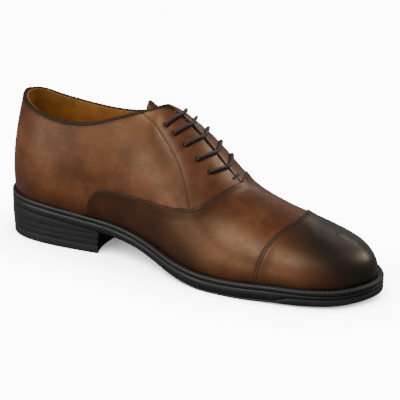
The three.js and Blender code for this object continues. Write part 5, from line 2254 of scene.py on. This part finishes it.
    def heel_slab(self, name: str, draw_in: float, low: Callable[[Array], Array],
                  high: Callable[[Array], Array], bevel: float) -> Skin:
        """One layer of the heel between two heights, its edges eased.

        Args:
            name: The piece's name.
            draw_in: Margin that its plan is drawn in by.
            low: Lower face over x.
            high: Upper face over x.
            bevel: Size of the eased edge.

        Returns:
            The layer's mesh.
        """
        skin = Skin(name)
        loops = []
        for extra, from_low, lift in ((bevel * 1.6, True, 0.0), (bevel * 0.4, True, bevel * 0.5),
                                      (0.0, True, bevel * 1.6), (0.0, False, -bevel * 1.6),
                                      (bevel * 0.4, False, -bevel * 0.5), (bevel * 1.6, False, 0.0)):
            loop = self.heel_loop(draw_in + extra)
            loop[:, 2] = (low if from_low else high)(loop[:, 0]) + lift
            loops.append(loop)
        skin.add(np.concatenate(loops), tube_faces(len(loops), len(loops[0])))
        return skin

    def heel(self) -> None:
        """Top piece, lifts and wedge, one above the other."""
        def flat(height: float) -> Callable[[Array], Array]:
            """A level face."""
            return lambda x: np.full(np.shape(x), height)

        skin = self.heel_slab("heel_top_rubber", self.taper, flat(0.0), flat(self.top_piece), 0.22)
        settle(skin.build(), self.wardrobe.rubber, "tread_rubber", "heel_top_piece")
        low = self.top_piece
        for number in (1, 2):
            draw_in = self.taper * (1 - number / 3)
            start, end = low + 0.03, low + self.gap + self.lift
            skin = self.heel_slab(f"heel_lift_leather_{number}", draw_in, flat(start), flat(end), 0.02)
            settle(skin.build(), self.wardrobe.heel, "stacked_heel", f"heel_lift_{number}")
            low = end
        skin = self.heel_slab("heel_seat_wedge", 0.0, flat(low + 0.03),
                              lambda x: self.sole_bottom(x) - 0.1, 0.03)
        settle(skin.build(), self.wardrobe.heel, "stacked_heel", "heel_wedge")


# ------------------------------------------------------------------ the studio


@dataclass
class Studio:
    """Pale floor, soft light and the camera."""

    azimuth: float = 27.6
    elevation: float = 19.8
    roll: float = 1.1
    distance: float = 900.0
    lens: float = 116.8
    target: tuple[float, float, float] = (145.0, 0.0, 50.0)
    slide: tuple[float, float] = (6.47, -8.09)

    def build(self) -> None:
        """Set up the whole studio."""
        self.camera()
        self.floor()
        self.lights()

    def camera(self) -> None:
        """Camera at the product view's angle."""
        a, e, roll = np.radians([self.azimuth, self.elevation, self.roll])
        back = np.array([np.sin(a) * np.cos(e), -np.cos(a) * np.cos(e), np.sin(e)])
        level_right = np.array([np.cos(a), np.sin(a), 0.0])
        level_up = np.cross(back, level_right)
        right = np.cos(roll) * level_right + np.sin(roll) * level_up
        up = -np.sin(roll) * level_right + np.cos(roll) * level_up
        place = np.array(self.target) + back * self.distance
        place = place + right * self.slide[0] + up * self.slide[1]
        data = bpy.data.cameras.new("camera")
        data.lens = self.lens
        data.sensor_width = 36
        data.clip_start = 0.05
        data.dof.use_dof = False
        camera = bpy.data.objects.new("camera", data)
        bpy.context.scene.collection.objects.link(camera)
        rows = np.eye(4)
        rows[:3, 0], rows[:3, 1], rows[:3, 2] = right, up, back
        rows[:3, 3] = to_frame(place)
        camera.matrix_world = Matrix(rows.tolist())
        bpy.context.scene.camera = camera

    @staticmethod
    def floor() -> None:
        """A wide pale floor with a faint mottle, glowing for the camera, the glow dimmed near the shoe as a
        painted contact shadow.
        """
        mesh = bpy.data.meshes.new("floor")
        reach = 4.0
        mesh.from_pydata([(-reach, -reach, 0), (reach, -reach, 0), (reach, reach, 0), (-reach, reach, 0)],
                         [], [(0, 1, 2, 3)])
        floor = bpy.data.objects.new("floor", mesh)
        bpy.context.scene.collection.objects.link(floor)
        material, w, shader, place = new_material("pale_floor")
        burnish = w.group("hand_burnish", place, Cloud=3.0, Streak=40.0)
        seen = w.node("ShaderNodeLightPath").outputs["Is Camera Ray"]
        pale = w.mix(burnish.outputs["Cloud"], (0.88, 0.88, 0.88), (0.92, 0.92, 0.92))
        w.link(w.mix(seen, (0.3, 0.3, 0.3), pale), shader.inputs["Base Color"])
        w.preset(shader, {"Roughness": 0.8, "Specular IOR Level": 0.1, "Emission Color": (1, 1, 1, 1)})
        # The floor glows only for the camera; ambient occlusion dims the glow near the shoe as a painted
        # contact shadow, and other rays see a grey floor.
        painted_contact_shadow = w.node("ShaderNodeAmbientOcclusion", samples=12)
        painted_contact_shadow.inputs["Distance"].default_value = 0.06
        glow_with_painted_shadow = w.math("MULTIPLY", w.math("POWER", painted_contact_shadow.outputs["AO"], 1.3), 11.0)
        w.link(w.math("MULTIPLY", glow_with_painted_shadow, seen), shader.inputs["Emission Strength"])
        mesh.materials.append(material)

    def lights(self) -> None:
        """Softboxes round the shoe, in a dim, even surround."""
        world = bpy.data.worlds.new("surround")
        bpy.context.scene.world = world
        world.use_nodes = True
        background = world.node_tree.nodes["Background"]
        background.inputs["Color"].default_value = (1.0, 1.0, 1.0, 1)
        background.inputs["Strength"].default_value = 0.3
        self.softbox("side", -133, 12, 1.2, (0.6, 0.42), 5.0)
        self.softbox("front", -101, 21, 1.15, (0.26, 0.24), 9.0)
        self.softbox("over", -98, 58, 1.1, (0.3, 0.46), 13.0)
        self.softbox("instep", 84, 33, 1.2, (0.1, 0.08), 20.0)
        self.softbox("toe", 50, 38, 1.1, (0.26, 0.2), 20.0)

    @staticmethod
    def softbox(name: str, heading: float, height: float, reach: float, size: tuple[float, float],
                brightness: float) -> None:
        """One area light aimed at the shoe.

        Args:
            name: Its name.
            heading: Direction to it in plan, in degrees from X.
            height: Its angle above the floor, in degrees.
            reach: Distance from the shoe's middle, in metres.
            size: Width and height in metres.
            brightness: Radiance of its face.
        """
        around, above = math.radians(heading), math.radians(height)
        flat = math.cos(above)
        ray = Vector((math.cos(around) * flat, math.sin(around) * flat, math.sin(above)))
        data = bpy.data.lights.new(name, "AREA")
        data.shape = "RECTANGLE"
        data.size, data.size_y = size
        data.energy = brightness * size[0] * size[1] * math.pi
        light = bpy.data.objects.new(name, data)
        bpy.context.scene.collection.objects.link(light)
        light.location = Vector((0.0, 0.0, 0.05)) + ray * reach
        light.rotation_euler = ray.to_track_quat("Z", "Y").to_euler()


def main() -> None:
    """Build the shoe and the studio."""
    logging.basicConfig(level=logging.INFO)
    wardrobe = Wardrobe()
    Studio().build()
    Upper(wardrobe).build()
    Inside(wardrobe).build()
    Tongue(wardrobe).build()
    Lace(wardrobe).build()
    Bottom(wardrobe).build()


if __name__ == "__main__":
    main()
